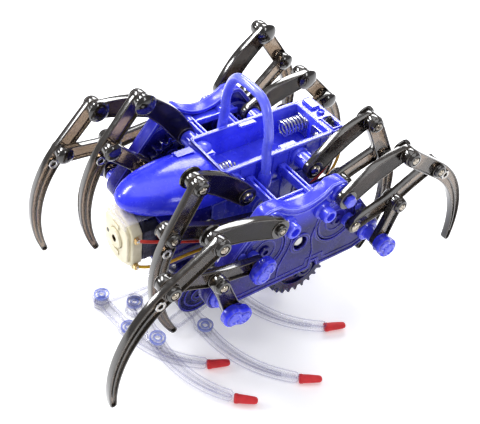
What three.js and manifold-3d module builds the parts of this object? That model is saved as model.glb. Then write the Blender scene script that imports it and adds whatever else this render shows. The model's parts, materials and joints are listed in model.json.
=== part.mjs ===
// An eight-legged walking robot kit: a blue geared chassis with a battery tray, eight smoke-grey
// Klann linkage legs, and four clear lower legs with red rubber tips that it stands on.
// Millimetres, +Z up, nose towards -Y, the robot's left side on +X.
import * as THREE from "three";
import { mergeVertices } from "three/addons/utils/BufferGeometryUtils.js";
import Module from "manifold-3d";

const wasm = await Module();
wasm.setup();

// ---- driving dimensions -------------------------------------------------------------------

// Klann leg, in its own plane: u points outwards from the middle of the chassis, w points up.
const UPPER_PIVOT = [16.4, 0];
const LOWER_PIVOT = [36.7, -28.6];
const CRANK_CENTRE = [17.7, -15];
const CRANK_THROW = 6.2;
const UPPER_ROCKER = 30;
const LOWER_ROCKER = 18.4;
const CRANK_TO_ELBOW = 20;
const ELBOW_TO_KNEE = 21.8;
const COUPLER_BEND = THREE.MathUtils.degToRad(10.4);
const TOP_TO_KNEE = 22.5;
const CLAW_TIP = [65.9, 25.9]; // along and across the line from the top pivot to the knee

// Layers along X, from the middle outwards: [inboard face, outboard face].
const INNER_LINKS = [19.8, 22.8];
const INNER_CLAWS = [23.2, 26.2];
const GEARS = [27.2, 31];
const SIDE_PLATE = [32.2, 38.2];
const AXLE_LUG = [32.2, 34.7];
const CRANK_DISC = [35.7, 38];
const CRANK_DISC_RADIUS = 9.3;
const OUTER_LINKS = [40.4, 43.4];
const OUTER_CLAWS = [43.8, 46.8];

const GAP = 0.3;
const PIN_RADIUS = 1.6;
const PIN_HOLE = PIN_RADIUS + GAP;
const LINK_END = 3.6;
const BOSS_RADIUS = 3.2;

// Crank angles of the outer legs, in degrees in the leg's own plane; the inner ones are opposite.
const CRANK_ANGLE = { left_front: 2, left_rear: 342, right_front: 85, right_rear: 258 };

// Gear train.
const AXLE_HEIGHT = -19;
const CRANK_TEETH = 16;
const LOWER_FRONT_TEETH = 18;
const LOWER_REAR_TEETH = 26;
const AXLE_RADIUS = 2.4;
const GEAR_RADIUS = Math.hypot(CRANK_CENTRE[0], CRANK_CENTRE[1] - AXLE_HEIGHT) / 2;
const radiusOf = (teeth) => (GEAR_RADIUS * teeth) / CRANK_TEETH;
const LOWER_REAR_Y = 9;
const LOWER_REAR_REACH = GEAR_RADIUS + radiusOf(LOWER_REAR_TEETH);
const LOWER_REAR = [
  LOWER_REAR_Y,
  AXLE_HEIGHT - Math.sqrt(LOWER_REAR_REACH ** 2 - LOWER_REAR_Y ** 2),
];
const LOWER_FRONT_SHIFT = 1.5;
const LOWER_FRONT_REACH = GEAR_RADIUS + radiusOf(LOWER_FRONT_TEETH);
const LOWER_FRONT = [
  -CRANK_CENTRE[0] - LOWER_FRONT_SHIFT,
  CRANK_CENTRE[1] - Math.sqrt(LOWER_FRONT_REACH ** 2 - LOWER_FRONT_SHIFT ** 2),
];

// Chassis.
const TRAY = { halfWidth: 11.7, front: -20.6, rear: 33.3, top: 5.8, bottom: -8.4, wall: 1.1 };
const CASE_HALF_WIDTH = 12.5;
const CASE_WALL = 1.6;
const CASE_TOP = -8.8;
const MOTOR = { front: -60.5, bell: 7, canEnd: -45, halfWidth: 10, radius: 12.4 };

// Stand: the clear legs lie on the table and the clear base lies on them.
const FLOOR = -73.6;
const CLEAR_THICKNESS = 3.6;
const CLEAR_LEG_TOP = FLOOR + CLEAR_THICKNESS;
const BASE_BOTTOM = CLEAR_LEG_TOP + GAP;
const BASE_TOP = BASE_BOTTOM + 2.2;

// ---- materials ----------------------------------------------------------------------------

const plastic = (color, roughness, opacity = 1) =>
  new THREE.MeshStandardMaterial({ color, roughness, metalness: 0, opacity, transparent: opacity < 1 });
const metal = (color, roughness) => new THREE.MeshStandardMaterial({ color, roughness, metalness: 1 });

// ---- solids -------------------------------------------------------------------------------

function solid(geometry) {
  const bare = geometry.clone();
  bare.deleteAttribute("normal");
  bare.deleteAttribute("uv");
  const merged = mergeVertices(bare, 1e-4);
  return new wasm.Manifold(
    new wasm.Mesh({
      numProp: 3,
      vertProperties: new Float32Array(merged.attributes.position.array),
      triVerts: new Uint32Array(merged.index.array),
    }),
  );
}

function join(solids) {
  return solids.reduce((whole, piece) => whole.add(piece));
}

function cut(body, holes) {
  return holes.reduce((whole, hole) => whole.subtract(hole), body);
}

function toGeometry(body) {
  const mesh = body.getMesh();
  const geometry = new THREE.BufferGeometry();
  geometry.setAttribute("position", new THREE.BufferAttribute(new Float32Array(mesh.vertProperties), 3));
  geometry.setIndex(new THREE.BufferAttribute(new Uint32Array(mesh.triVerts), 1));
  geometry.computeVertexNormals();
  return geometry;
}

// A shape drawn in the Y-Z plane, made solid from x0 to x1.
const SIDEWAYS = new THREE.Matrix4().makeBasis(
  new THREE.Vector3(0, 1, 0),
  new THREE.Vector3(0, 0, 1),
  new THREE.Vector3(1, 0, 0),
);

function sideways(shape, x0, x1, curveSegments = 4) {
  const low = Math.min(x0, x1);
  const geometry = new THREE.ExtrudeGeometry(shape, {
    depth: Math.abs(x1 - x0),
    bevelEnabled: false,
    curveSegments,
  });
  return solid(geometry.applyMatrix4(SIDEWAYS).translate(low, 0, 0));
}

// A shape drawn in the X-Y plane, made solid from z0 to z1.
function upright(shape, z0, z1, curveSegments = 4) {
  const geometry = new THREE.ExtrudeGeometry(shape, {
    depth: z1 - z0,
    bevelEnabled: false,
    curveSegments,
  });
  return solid(geometry.translate(0, 0, z0));
}

// A shape carried along a curve.
function alongPath(shape, path, steps, curveSegments) {
  const geometry = new THREE.ExtrudeGeometry(shape, {
    extrudePath: path,
    steps,
    curveSegments,
    bevelEnabled: false,
  });
  return solid(geometry);
}

function box(x0, x1, y0, y1, z0, z1) {
  const geometry = new THREE.BoxGeometry(x1 - x0, y1 - y0, z1 - z0);
  return solid(geometry.translate((x0 + x1) / 2, (y0 + y1) / 2, (z0 + z1) / 2));
}

// A round bar along X, Y or Z through the point (a, b) of the plane across it.
function barX(y, z, radius, x0, x1, sides = 12) {
  const geometry = new THREE.CylinderGeometry(radius, radius, Math.abs(x1 - x0), sides);
  return solid(geometry.rotateZ(Math.PI / 2).translate((x0 + x1) / 2, y, z));
}

function barY(x, z, radius, y0, y1, sides = 12) {
  const geometry = new THREE.CylinderGeometry(radius, radius, y1 - y0, sides);
  return solid(geometry.translate(x, (y0 + y1) / 2, z));
}

function barZ(x, y, radius, z0, z1, sides = 12) {
  const geometry = new THREE.CylinderGeometry(radius, radius, z1 - z0, sides);
  return solid(geometry.rotateX(Math.PI / 2).translate(x, y, (z0 + z1) / 2));
}

// An outline of changing width along a line of points, with a round cap at each end.
function ribbon(points, halfWidths, capSteps = 4) {
  const last = points.length - 1;
  const direction = points.map((_, i) => {
    const from = points[Math.max(i - 1, 0)];
    const to = points[Math.min(i + 1, last)];
    return Math.atan2(to[1] - from[1], to[0] - from[0]);
  });
  const outline = [];
  const put = (i, angle) =>
    outline.push(
      new THREE.Vector2(
        points[i][0] + halfWidths[i] * Math.cos(angle),
        points[i][1] + halfWidths[i] * Math.sin(angle),
      ),
    );
  for (let i = 0; i < last; i += 1) put(i, direction[i] - Math.PI / 2);
  for (let k = 0; k <= capSteps; k += 1)
    put(last, direction[last] - Math.PI / 2 + (Math.PI * k) / capSteps);
  for (let i = last - 1; i > 0; i -= 1) put(i, direction[i] + Math.PI / 2);
  for (let k = 0; k < capSteps; k += 1)
    put(0, direction[0] + Math.PI / 2 + (Math.PI * k) / capSteps);
  return new THREE.Shape(outline);
}

function pierce(shape, x, y, radius) {
  const hole = new THREE.Path();
  hole.absarc(x, y, radius, 0, 2 * Math.PI, true);
  shape.holes.push(hole);
  return shape;
}

// ---- leg geometry -------------------------------------------------------------------------

// The point at the two distances from two centres, on the left of the line between them
// when side is 1 and on the right when it is -1.
function meet(first, firstLength, second, secondLength, side) {
  const along = [second[0] - first[0], second[1] - first[1]];
  const distance = Math.hypot(...along);
  const foot = (firstLength ** 2 - secondLength ** 2 + distance ** 2) / (2 * distance);
  const height = side * Math.sqrt(firstLength ** 2 - foot ** 2);
  const unit = [along[0] / distance, along[1] / distance];
  return [
    first[0] + unit[0] * foot - unit[1] * height,
    first[1] + unit[1] * foot + unit[0] * height,
  ];
}

const angleOf = (from, to) => Math.atan2(to[1] - from[1], to[0] - from[0]);

function legPose(crankDegrees) {
  const crank = THREE.MathUtils.degToRad(crankDegrees);
  const pin = [
    CRANK_CENTRE[0] + CRANK_THROW * Math.cos(crank),
    CRANK_CENTRE[1] + CRANK_THROW * Math.sin(crank),
  ];
  const elbow = meet(LOWER_PIVOT, LOWER_ROCKER, pin, CRANK_TO_ELBOW, -1);
  const reach = angleOf(pin, elbow) + COUPLER_BEND;
  const knee = [
    elbow[0] + ELBOW_TO_KNEE * Math.cos(reach),
    elbow[1] + ELBOW_TO_KNEE * Math.sin(reach),
  ];
  const top = meet(UPPER_PIVOT, UPPER_ROCKER, knee, TOP_TO_KNEE, 1);
  return { pin, elbow, knee, top };
}

// A claw's centre line: straight from the top pivot to the knee, then one arc to the tip.
function clawLine(size, kneeSteps = 9) {
  const knee = TOP_TO_KNEE * size;
  const tip = CLAW_TIP.map((value) => value * size);
  const half = Math.atan2(tip[1], tip[0] - knee);
  const radius = Math.hypot(tip[1], tip[0] - knee) / (2 * Math.sin(half));
  const line = [[0, 0]];
  for (let k = 0; k <= kneeSteps; k += 1) {
    const turn = (2 * half * k) / kneeSteps;
    line.push([knee + radius * Math.sin(turn), -radius * (1 - Math.cos(turn))]);
  }
  return line;
}

function clawShape(size, side) {
  const line = clawLine(size).map(([a, b]) => [side * a, b]);
  const last = line.length - 1;
  const widthAt = (i) => (i === 0 ? LINK_END : LINK_END - 2.2 * ((i - 1) / (last - 1)) ** 1.3);
  const widths = line.map((_, i) => widthAt(i));
  return ribbon(line, widths);
}

// ---- legs ---------------------------------------------------------------------------------

const root = new THREE.Group();

function add(name, body, material, parent = root) {
  const mesh = new THREE.Mesh(toGeometry(body), material);
  mesh.name = name;
  parent.add(mesh);
  return mesh;
}

const SMOKE = plastic(0x2b2a2b, 0.25, 0.85);

function makeLeg(corner, row) {
  const side = corner.startsWith("left") ? 1 : -1;
  const forward = corner.endsWith("front") ? -1 : 1;
  const links = row === "outer" ? OUTER_LINKS : INNER_LINKS;
  const claws = row === "outer" ? OUTER_CLAWS : INNER_CLAWS;
  const pose = legPose(CRANK_ANGLE[corner] + (row === "outer" ? 0 : 180));
  const leg = new THREE.Group();
  root.add(leg);

  // Puts a link at its pivot, turned so that its own line points along the angle.
  const place = (part, body, pivot, angle) => {
    const mesh = add(`${corner}_${row}_${part}`, body, SMOKE.clone(), leg);
    mesh.position.set(0, forward * pivot[0], pivot[1]);
    mesh.rotation.x = forward * angle;
  };
  const flip = ([a, b]) => [forward * a, b];
  const layer = (shape, [inboard, outboard]) => sideways(shape, side * inboard, side * outboard);
  const stub = (point) =>
    barX(...flip(point), PIN_RADIUS, side * (links[1] - 0.5), side * claws[1], 12);

  const rockerLine = [[0, 0], [7, 1], [15, 1.6], [23, 1], [UPPER_ROCKER, 0]].map(flip);
  const rocker = ribbon(rockerLine, [4.2, 4.6, 4.6, 4.2, LINK_END]);
  pierce(rocker, 0, 0, PIN_HOLE);
  place(
    "upper_rocker",
    join([layer(rocker, links), stub([UPPER_ROCKER, 0])]),
    UPPER_PIVOT,
    angleOf(UPPER_PIVOT, pose.top),
  );

  const claw = clawShape(1, forward);
  pierce(claw, 0, 0, PIN_HOLE);
  pierce(claw, forward * TOP_TO_KNEE, 0, PIN_HOLE);
  place("claw", layer(claw, claws), pose.top, angleOf(pose.top, pose.knee));

  // The coupler's own line runs back from the knee to the elbow, then on to the crank pin.
  const crankEnd = [
    ELBOW_TO_KNEE + CRANK_TO_ELBOW * Math.cos(COUPLER_BEND),
    CRANK_TO_ELBOW * Math.sin(COUPLER_BEND),
  ];
  const bend = [[0, 0], [ELBOW_TO_KNEE, 0], [crankEnd[0], -crankEnd[1]]].map(flip);
  const coupler = ribbon(bend, [LINK_END, 3.4, 3.2]);
  pierce(coupler, bend[2][0], bend[2][1], PIN_HOLE);
  place(
    "coupler",
    join([layer(coupler, links), stub([0, 0])]),
    pose.knee,
    angleOf(pose.knee, pose.elbow),
  );

  const lower = ribbon([[0, 0], [LOWER_ROCKER, 0]].map(flip), [LINK_END, 3.3]);
  pierce(lower, 0, 0, PIN_HOLE);
  place("lower_rocker", layer(lower, claws), LOWER_PIVOT, angleOf(LOWER_PIVOT, pose.elbow));
}

const CORNERS = Object.keys(CRANK_ANGLE);
for (const corner of CORNERS) {
  makeLeg(corner, "outer");
  makeLeg(corner, "inner");
}

// ---- gear train ---------------------------------------------------------------------------

// A spur gear's outline with one tooth's middle at the given angle.
function gearShape(teeth, pitchRadius, toothAngle) {
  const toothModule = (2 * pitchRadius) / teeth;
  const tip = pitchRadius + 0.85 * toothModule;
  const rootRadius = pitchRadius - 1.1 * toothModule;
  const pitch = (2 * Math.PI) / teeth;
  const outline = [];
  for (let k = 0; k < teeth; k += 1)
    for (const [share, radius] of [[-0.29, rootRadius], [-0.11, tip], [0.11, tip], [0.29, rootRadius]]) {
      const angle = toothAngle + (k + share) * pitch;
      outline.push(new THREE.Vector2(radius * Math.cos(angle), radius * Math.sin(angle)));
    }
  return new THREE.Shape(outline);
}

const GEAR_BLUE = plastic(0x2a2fc0, 0.3, 0.9);

function gear(teeth, radius, toothAngle, side) {
  return sideways(gearShape(teeth, radius, toothAngle), side * GEARS[0], side * GEARS[1]);
}

// Tooth angle that lets a gear mesh with a neighbour whose own tooth angle is given.
function meshingAngle(centre, teeth, neighbour, neighbourTeeth, neighbourTooth) {
  const line = angleOf(neighbour, centre);
  const neighbourPitch = (2 * Math.PI) / neighbourTeeth;
  const share = (line - neighbourTooth) / neighbourPitch;
  const pitch = (2 * Math.PI) / teeth;
  return line + Math.PI + (share - 0.5) * pitch;
}

const IDLER = [0, AXLE_HEIGHT];
const IDLER_TOOTH = 0;

function crankTooth(centre) {
  return meshingAngle(centre, CRANK_TEETH, IDLER, CRANK_TEETH, IDLER_TOOTH);
}

function makeCrank(corner) {
  const side = corner.startsWith("left") ? 1 : -1;
  const forward = corner.endsWith("front") ? -1 : 1;
  const centre = [forward * CRANK_CENTRE[0], CRANK_CENTRE[1]];
  const angle = THREE.MathUtils.degToRad(CRANK_ANGLE[corner]);
  const throwOf = (sign) => [
    sign * forward * CRANK_THROW * Math.cos(angle),
    sign * CRANK_THROW * Math.sin(angle),
  ];
  const outer = throwOf(1);
  const inner = throwOf(-1);
  const body = join([
    gear(CRANK_TEETH, GEAR_RADIUS, crankTooth(centre), side),
    barX(0, 0, AXLE_RADIUS, side * (GEARS[1] - 0.5), side * (CRANK_DISC[0] + 0.5)),
    barX(0, 0, CRANK_DISC_RADIUS, side * CRANK_DISC[0], side * CRANK_DISC[1], 28),
    barX(...outer, PIN_RADIUS, side * (CRANK_DISC[1] - 0.5), side * (OUTER_LINKS[0] - GAP), 12),
    barX(...inner, PIN_RADIUS, side * (GEARS[0] + 0.5), side * (INNER_LINKS[1] + GAP), 12),
  ]);
  const mesh = add(`${corner}_crank`, body, GEAR_BLUE.clone());
  mesh.position.set(0, ...centre);
}
for (const corner of CORNERS) makeCrank(corner);

// The main axle carries an idler gear on each side and the crown gear that the pinion turns.
const CROWN_TEETH = 24;
const CROWN_RADIUS = 7.4;
const mainAxle = join([
  barX(0, 0, AXLE_RADIUS, 1 - SIDE_PLATE[1], SIDE_PLATE[1] - 1),
  gear(CRANK_TEETH, GEAR_RADIUS, IDLER_TOOTH, 1),
  gear(CRANK_TEETH, GEAR_RADIUS, IDLER_TOOTH, -1),
  sideways(gearShape(CROWN_TEETH, CROWN_RADIUS, 0), 3.2, 5.6),
]);
add("main_axle", mainAxle, plastic(0xe8e6e0, 0.4)).position.set(0, 0, AXLE_HEIGHT);

function makeLowerGears(name, centre, teeth, neighbour, neighbourTooth) {
  const phase = meshingAngle(centre, teeth, neighbour, CRANK_TEETH, neighbourTooth);
  const body = join([
    barX(0, 0, AXLE_RADIUS - 0.4, -AXLE_LUG[1], AXLE_LUG[1]),
    gear(teeth, radiusOf(teeth), phase, 1),
    gear(teeth, radiusOf(teeth), phase, -1),
  ]);
  add(name, body, GEAR_BLUE.clone()).position.set(0, ...centre);
}
const frontCrank = [-CRANK_CENTRE[0], CRANK_CENTRE[1]];
makeLowerGears("lower_rear_gears", LOWER_REAR, LOWER_REAR_TEETH, IDLER, IDLER_TOOTH);
makeLowerGears(
  "lower_front_gears",
  LOWER_FRONT,
  LOWER_FRONT_TEETH,
  frontCrank,
  crankTooth(frontCrank),
);

// Motor, end bell and the pinion shaft that drives the crown gear on the main axle.
function motorShape(radius, halfWidth) {
  const flat = Math.acos(halfWidth / radius);
  const shape = new THREE.Shape();
  shape.absarc(0, 0, radius, flat, Math.PI - flat, false);
  shape.absarc(0, 0, radius, Math.PI + flat, 2 * Math.PI - flat, false);
  return shape;
}

function alongY(shape, y0, y1, z, curveSegments = 8) {
  const geometry = new THREE.ExtrudeGeometry(shape, {
    depth: y1 - y0,
    bevelEnabled: false,
    curveSegments,
  });
  return solid(geometry.rotateX(Math.PI / 2).translate(0, y1, z));
}

const bellRear = MOTOR.front + MOTOR.bell;
const SHAFT_HOLE = 1.4;
const shaftHole = barY(0, AXLE_HEIGHT, SHAFT_HOLE, MOTOR.front - 1, MOTOR.canEnd + 1);
const bellShape = motorShape(MOTOR.radius, MOTOR.halfWidth);
const bell = alongY(bellShape, MOTOR.front, bellRear - GAP, AXLE_HEIGHT);
add("motor_end_bell", cut(bell, [shaftHole]), plastic(0xece6cf, 0.45));
const can = alongY(
  motorShape(MOTOR.radius - 0.8, MOTOR.halfWidth - 0.6),
  bellRear,
  MOTOR.canEnd,
  AXLE_HEIGHT,
);
add("motor_can", cut(can, [shaftHole]), metal(0xb9bcc0, 0.3));
const pinion = join([
  barY(0, AXLE_HEIGHT, 1, MOTOR.front + 1, -5, 12),
  alongY(gearShape(8, 2.2, 0), -9.6, -5.4, AXLE_HEIGHT),
]);
add("motor_pinion_shaft", pinion, metal(0xc8c9cc, 0.25));

// ---- chassis ------------------------------------------------------------------------------

const BODY_BLUE = plastic(0x2f35e6, 0.25, 0.95);

function makeTray() {
  const { halfWidth, front, rear, top, bottom, wall } = TRAY;
  const deck = { y: 41, half: 12.5, bottom: 3.2 };
  const shell = cut(box(-halfWidth, halfWidth, front, rear, bottom, top), [
    box(-halfWidth + wall, halfWidth - wall, front + wall, rear - wall, bottom + wall + 0.6, top + 1),
  ]);
  const tab = (x0, x1, y0) => box(x0, x1, y0, y0 + 8, top - 1.4, top - 0.2);
  const pieces = [
    shell,
    box(-deck.half, deck.half, rear - 0.5, deck.y, deck.bottom, top),
    tab(-halfWidth + 0.5, -halfWidth + 3.2, 2),
    tab(halfWidth - 3.2, halfWidth - 0.5, 8),
    box(-halfWidth + 0.5, -1, front + 0.5, front + 6, bottom + 1, top - 1.5),
  ];
  for (const side of [-1, 1])
    for (const end of [-1, 1]) {
      const y = end * UPPER_PIVOT[0];
      const bossEnd = INNER_LINKS[0] - GAP;
      pieces.push(barX(y, 0, BOSS_RADIUS, side * (halfWidth - 0.5), side * bossEnd));
      pieces.push(barX(y, 0, PIN_RADIUS, side * halfWidth, side * INNER_LINKS[1]));
    }
  const slot = box(3.4, 10.6, rear + 1.6, rear + 5.4, deck.bottom - 1, top + 1);
  return cut(join(pieces), [slot]);
}
add("battery_tray", makeTray(), BODY_BLUE.clone());

const slider = join([box(4, 7.4, 35.3, 38.3, 2.6, 6.2), box(4.6, 6.8, 35.8, 37.8, 6, 7.6)]);
add("switch_slider", slider, plastic(0x111113, 0.5));

function makeNose() {
  const tilt = THREE.MathUtils.degToRad(-7);
  const egg = (shrink) =>
    solid(
      new THREE.SphereGeometry(1, 24, 14)
        .rotateZ(Math.PI / 24)
        .scale(15 - shrink, 37.5 - shrink, 10 - shrink)
        .rotateX(tilt)
        .translate(0, -22.5, -5.4),
    );
  const block = box(-20, 20, -70, TRAY.front - GAP, -5.6, 30);
  const step = box(-9.5, -3.5, -33, TRAY.front - GAP - 0.5, 0.5, 5.4);
  const shell = egg(0).intersect(block).subtract(egg(1.5));
  return join([shell, step.intersect(egg(-0.9)).subtract(egg(1.5))]);
}
add("nose_canopy", makeNose(), BODY_BLUE.clone());

function makeHandle() {
  const half = [[15.2, -5], [15.2, 3], [14, 12], [14.2, 18], [12, 26], [8.8, 30.6], [4.2, 32]];
  const left = half.map(([x, z]) => new THREE.Vector3(x, -2.5, z));
  const right = half.map(([x, z]) => new THREE.Vector3(-x, -2.5, z));
  const path = new THREE.CatmullRomCurve3([...right, ...left.reverse()]);
  const section = new THREE.Shape();
  section.absarc(0, 0, 2, 0, 2 * Math.PI, false);
  return alongPath(section, path, 28, 4);
}
add("carry_handle", makeHandle(), BODY_BLUE.clone());

function makeCase() {
  const w = CASE_HALF_WIDTH;
  const t = CASE_WALL;
  const noseBottom = AXLE_HEIGHT - MOTOR.radius - 1.6;
  const rearBottom = -31;
  const hollows = [
    box(-w + t, w - t, -44, -25.6, noseBottom + t, CASE_TOP - t),
    box(-w + t, w - t, -24.5, 28, rearBottom - 1, CASE_TOP - t),
    barY(0, AXLE_HEIGHT, MOTOR.radius + GAP, -50, -30),
    barX(0, AXLE_HEIGHT, AXLE_RADIUS + GAP, -20, 20),
    barY(0, AXLE_HEIGHT, SHAFT_HOLE, -30, -20),
  ];
  const shell = cut(
    join([
      box(-w, w, -46.5, -24, noseBottom, CASE_TOP - 0.4),
      box(-w, w, -24.5, 30, rearBottom, CASE_TOP),
    ]),
    hollows,
  );
  const post = (y) => box(-w + 0.3, w - 0.3, y - 2.2, y + 2.2, BASE_TOP + GAP, rearBottom + 3);
  const skirt = (y) => box(-w + 0.3, w - 0.3, y - 0.9, y + 0.9, rearBottom, CASE_TOP - 1);
  const foot = (y) => cut(post(y), [box(-4, 4, y - 4, y + 4, BASE_TOP - 1, rearBottom - 6)]);
  // A round gear housing under the motor, joined to the front posts.
  const drum = barX(-27.5, -57.2, 9.4, -5, 12.2, 24);
  const bridge = box(5, 12.2, -27.5, -8, -63, -53);
  return join([shell, foot(-8), foot(18), skirt(18), drum, bridge]);
}
add("gearbox_case", makeCase(), BODY_BLUE.clone());

// The frame's outline: a saddle between the upper pivots, a corner at each lower pivot and a
// straight keel with a notch in it.
const KEEL = -36.6;
const FRAME_LOBE = 5;
const FRAME_SKIN = 1.8;

function plateShape(inset = 0) {
  const lobe = FRAME_LOBE - inset;
  const keel = KEEL + inset;
  const [eu, ew] = UPPER_PIVOT;
  const [du, dw] = LOWER_PIVOT;
  const shape = new THREE.Shape();
  const slope = Math.atan2(ew - dw, du - eu);
  const square = Math.PI / 2 - slope;
  shape.moveTo(-du, dw - lobe - 1);
  shape.lineTo(-30, keel);
  if (inset === 0) {
    shape.lineTo(7.4, keel);
    shape.lineTo(8.3, keel + 3.2);
    shape.lineTo(10.4, keel + 3.2);
    shape.lineTo(11.3, keel);
  }
  shape.lineTo(30, keel);
  shape.lineTo(du, dw - lobe - 1);
  shape.absarc(du, dw, lobe + 1, -Math.PI / 2, square, false);
  shape.absarc(eu, ew, lobe, square, Math.PI / 2, false);
  shape.lineTo(eu - 4, lobe);
  shape.quadraticCurveTo(0, -5 - inset, 4 - eu, lobe);
  shape.absarc(-eu, ew, lobe, Math.PI / 2, Math.PI - square, false);
  shape.absarc(-du, dw, lobe + 1, Math.PI - square, Math.PI * 1.5, false);
  return shape;
}

// Each side frame is a deep tray that opens inboard. The crank discs turn in round recesses in its
// outer face, and the pivots, the cross struts and the axle bearings are thickenings inside it.
function makeSideFrame(side) {
  const at = (x) => side * x;
  const onThisSide = (body) => (side > 0 ? body : body.mirror([1, 0, 0]));
  const [inboard, outboard] = SIDE_PLATE;
  const RECESS = [CRANK_DISC[0] - 0.5, CRANK_DISC_RADIUS + 0.4];
  const TUBE = [8.6, -5.2];
  const solids = [];
  const pieces = [];
  const holes = [];
  for (const end of [-1, 1]) {
    const e = [end * UPPER_PIVOT[0], UPPER_PIVOT[1]];
    const d = [end * LOWER_PIVOT[0], LOWER_PIVOT[1]];
    const o = [end * CRANK_CENTRE[0], CRANK_CENTRE[1]];
    const tube = [end * TUBE[0], TUBE[1]];
    solids.push(barX(...e, FRAME_LOBE, at(inboard), at(outboard - 0.5)));
    solids.push(barX(...d, FRAME_LOBE, at(inboard), at(outboard - 0.5)));
    solids.push(barX(...o, RECESS[1] + 1.5, at(RECESS[0] - 1.6), at(outboard - 0.5), 28));
    solids.push(barX(...o, AXLE_RADIUS + 2, at(inboard), at(outboard - 2), 14));
    solids.push(barX(...tube, 4, at(inboard), at(outboard - 0.5)));
    pieces.push(barX(...e, BOSS_RADIUS, at(outboard - 0.5), at(OUTER_LINKS[0] - GAP)));
    pieces.push(barX(...e, PIN_RADIUS, at(outboard - 0.5), at(OUTER_LINKS[1]), 12));
    pieces.push(barX(...d, BOSS_RADIUS, at(outboard - 0.5), at(OUTER_CLAWS[0] - GAP)));
    pieces.push(barX(...d, PIN_RADIUS, at(outboard - 0.5), at(OUTER_CLAWS[1]), 12));
    pieces.push(barX(...d, BOSS_RADIUS, at(inboard + 0.5), at(INNER_CLAWS[1] + GAP)));
    pieces.push(barX(...d, PIN_RADIUS, at(inboard + 0.5), at(INNER_CLAWS[0]), 12));
    pieces.push(barX(...tube, 3.1, at(outboard - 0.5), at(OUTER_LINKS[1]), 16));
    holes.push(barX(...tube, 1.9, at(outboard), at(OUTER_LINKS[1] + 1)));
    const strut = [end * 8 - 1.1, end * 8 + 1.1];
    pieces.push(onThisSide(box(CASE_HALF_WIDTH + 3.4, inboard + 0.5, ...strut, -4.6, -0.8)));
    pieces.push(onThisSide(box(TRAY.halfWidth + GAP, CASE_HALF_WIDTH + 4, ...strut, -7.6, -0.8)));
    holes.push(barX(...o, AXLE_RADIUS + GAP, at(inboard - 1), at(outboard + 1)));
    holes.push(barX(...o, RECESS[1], at(RECESS[0]), at(outboard + 1), 28));
  }
  solids.push(barX(0, AXLE_HEIGHT, AXLE_RADIUS + 2, at(inboard), at(outboard - 0.5)));
  for (const centre of [LOWER_REAR, LOWER_FRONT]) {
    solids.push(barX(...centre, 3.8, at(AXLE_LUG[0]), at(AXLE_LUG[1])));
    holes.push(barX(...centre, AXLE_RADIUS - 0.4 + GAP, at(inboard - 1), at(AXLE_LUG[1] + 0.1)));
  }
  const neck = box(...AXLE_LUG, LOWER_REAR[0] - 4.6, LOWER_REAR[0] - 0.9, LOWER_REAR[1], KEEL + 1);
  solids.push(onThisSide(neck));
  pieces.push(onThisSide(box(27.6, inboard + 0.5, -15, 15, -3.8, -1.2)));
  const tray = cut(sideways(plateShape(), at(inboard), at(outboard)), [
    sideways(plateShape(FRAME_SKIN), at(inboard - 1), at(outboard - FRAME_SKIN)),
  ]);
  holes.push(barX(0, AXLE_HEIGHT, AXLE_RADIUS + 1, at(outboard - 3), at(outboard + 1)));
  holes.push(barX(0, AXLE_HEIGHT, AXLE_RADIUS + GAP, at(inboard - 1), at(outboard + 1)));
  return cut(join([tray, ...solids, ...pieces]), holes);
}
add("left_side_frame", makeSideFrame(1), BODY_BLUE.clone());
add("right_side_frame", makeSideFrame(-1), BODY_BLUE.clone());

// ---- motor leads --------------------------------------------------------------------------

function makeLead(points, radius) {
  const path = new THREE.CatmullRomCurve3(points.map((point) => new THREE.Vector3(...point)));
  const section = new THREE.Shape();
  section.absarc(0, 0, radius, 0, 2 * Math.PI, false);
  return alongPath(section, path, 24, 3);
}
const LEAD_RADIUS = 0.65;
const RED_ROUTE = [
  [11, -56.5, -13.5],
  [12.8, -53, -14],
  [13.8, -47, -16],
  [14, -38, -20],
  [14, -28, -24],
  [14, -14, -25.5],
  [14, 0, -25.5],
  [14, 14, -23],
  [14, 24, -17],
  [13.6, 31, -11.5],
  [12.4, 36, -6],
  [10, 38.5, -1],
  [8, 39.3, 2.2],
];
const YELLOW_ROUTE = [
  [10.8, -56.5, -27],
  [12.8, -52, -27.5],
  [14, -45, -28],
  [14, -36, -28],
  [14, -24, -28.5],
  [14, -10, -28.8],
  [14, 4, -28.5],
  [14.2, 17, -26],
  [14.6, 27, -20],
  [14.6, 34, -13.5],
  [13, 38.5, -7],
  [10, 40, -2],
  [5, 40, 2.2],
];
add("motor_lead_red", makeLead(RED_ROUTE, LEAD_RADIUS), plastic(0xb01010, 0.5));
add("motor_lead_yellow", makeLead(YELLOW_ROUTE, LEAD_RADIUS), plastic(0xd8a020, 0.5));

// ---- clear lower legs, their red tips and the clear base ----------------------------------

const SLOPE_ROOM = 1.7;
const CLEAR = plastic(0xe6e4f6, 0.1, 0.35);
const CLEAR_LEGS = [
  { root: [-16.1, -56.9], tip: [38.8, -28.5], lift: 0 },
  { root: [-2.9, -48.7], tip: [60.2, -29.8], lift: BASE_TOP + SLOPE_ROOM - FLOOR },
  { root: [-4.7, -26.5], tip: [65.1, -1.3], lift: 0 },
  { root: [-10.2, -7], tip: [48.1, 25.6], lift: 0 },
];
const CHORD = Math.hypot(...CLAW_TIP);
const CHORD_ANGLE = Math.atan2(CLAW_TIP[1], CLAW_TIP[0]);
const TIP_LENGTH = 9.5;

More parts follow.
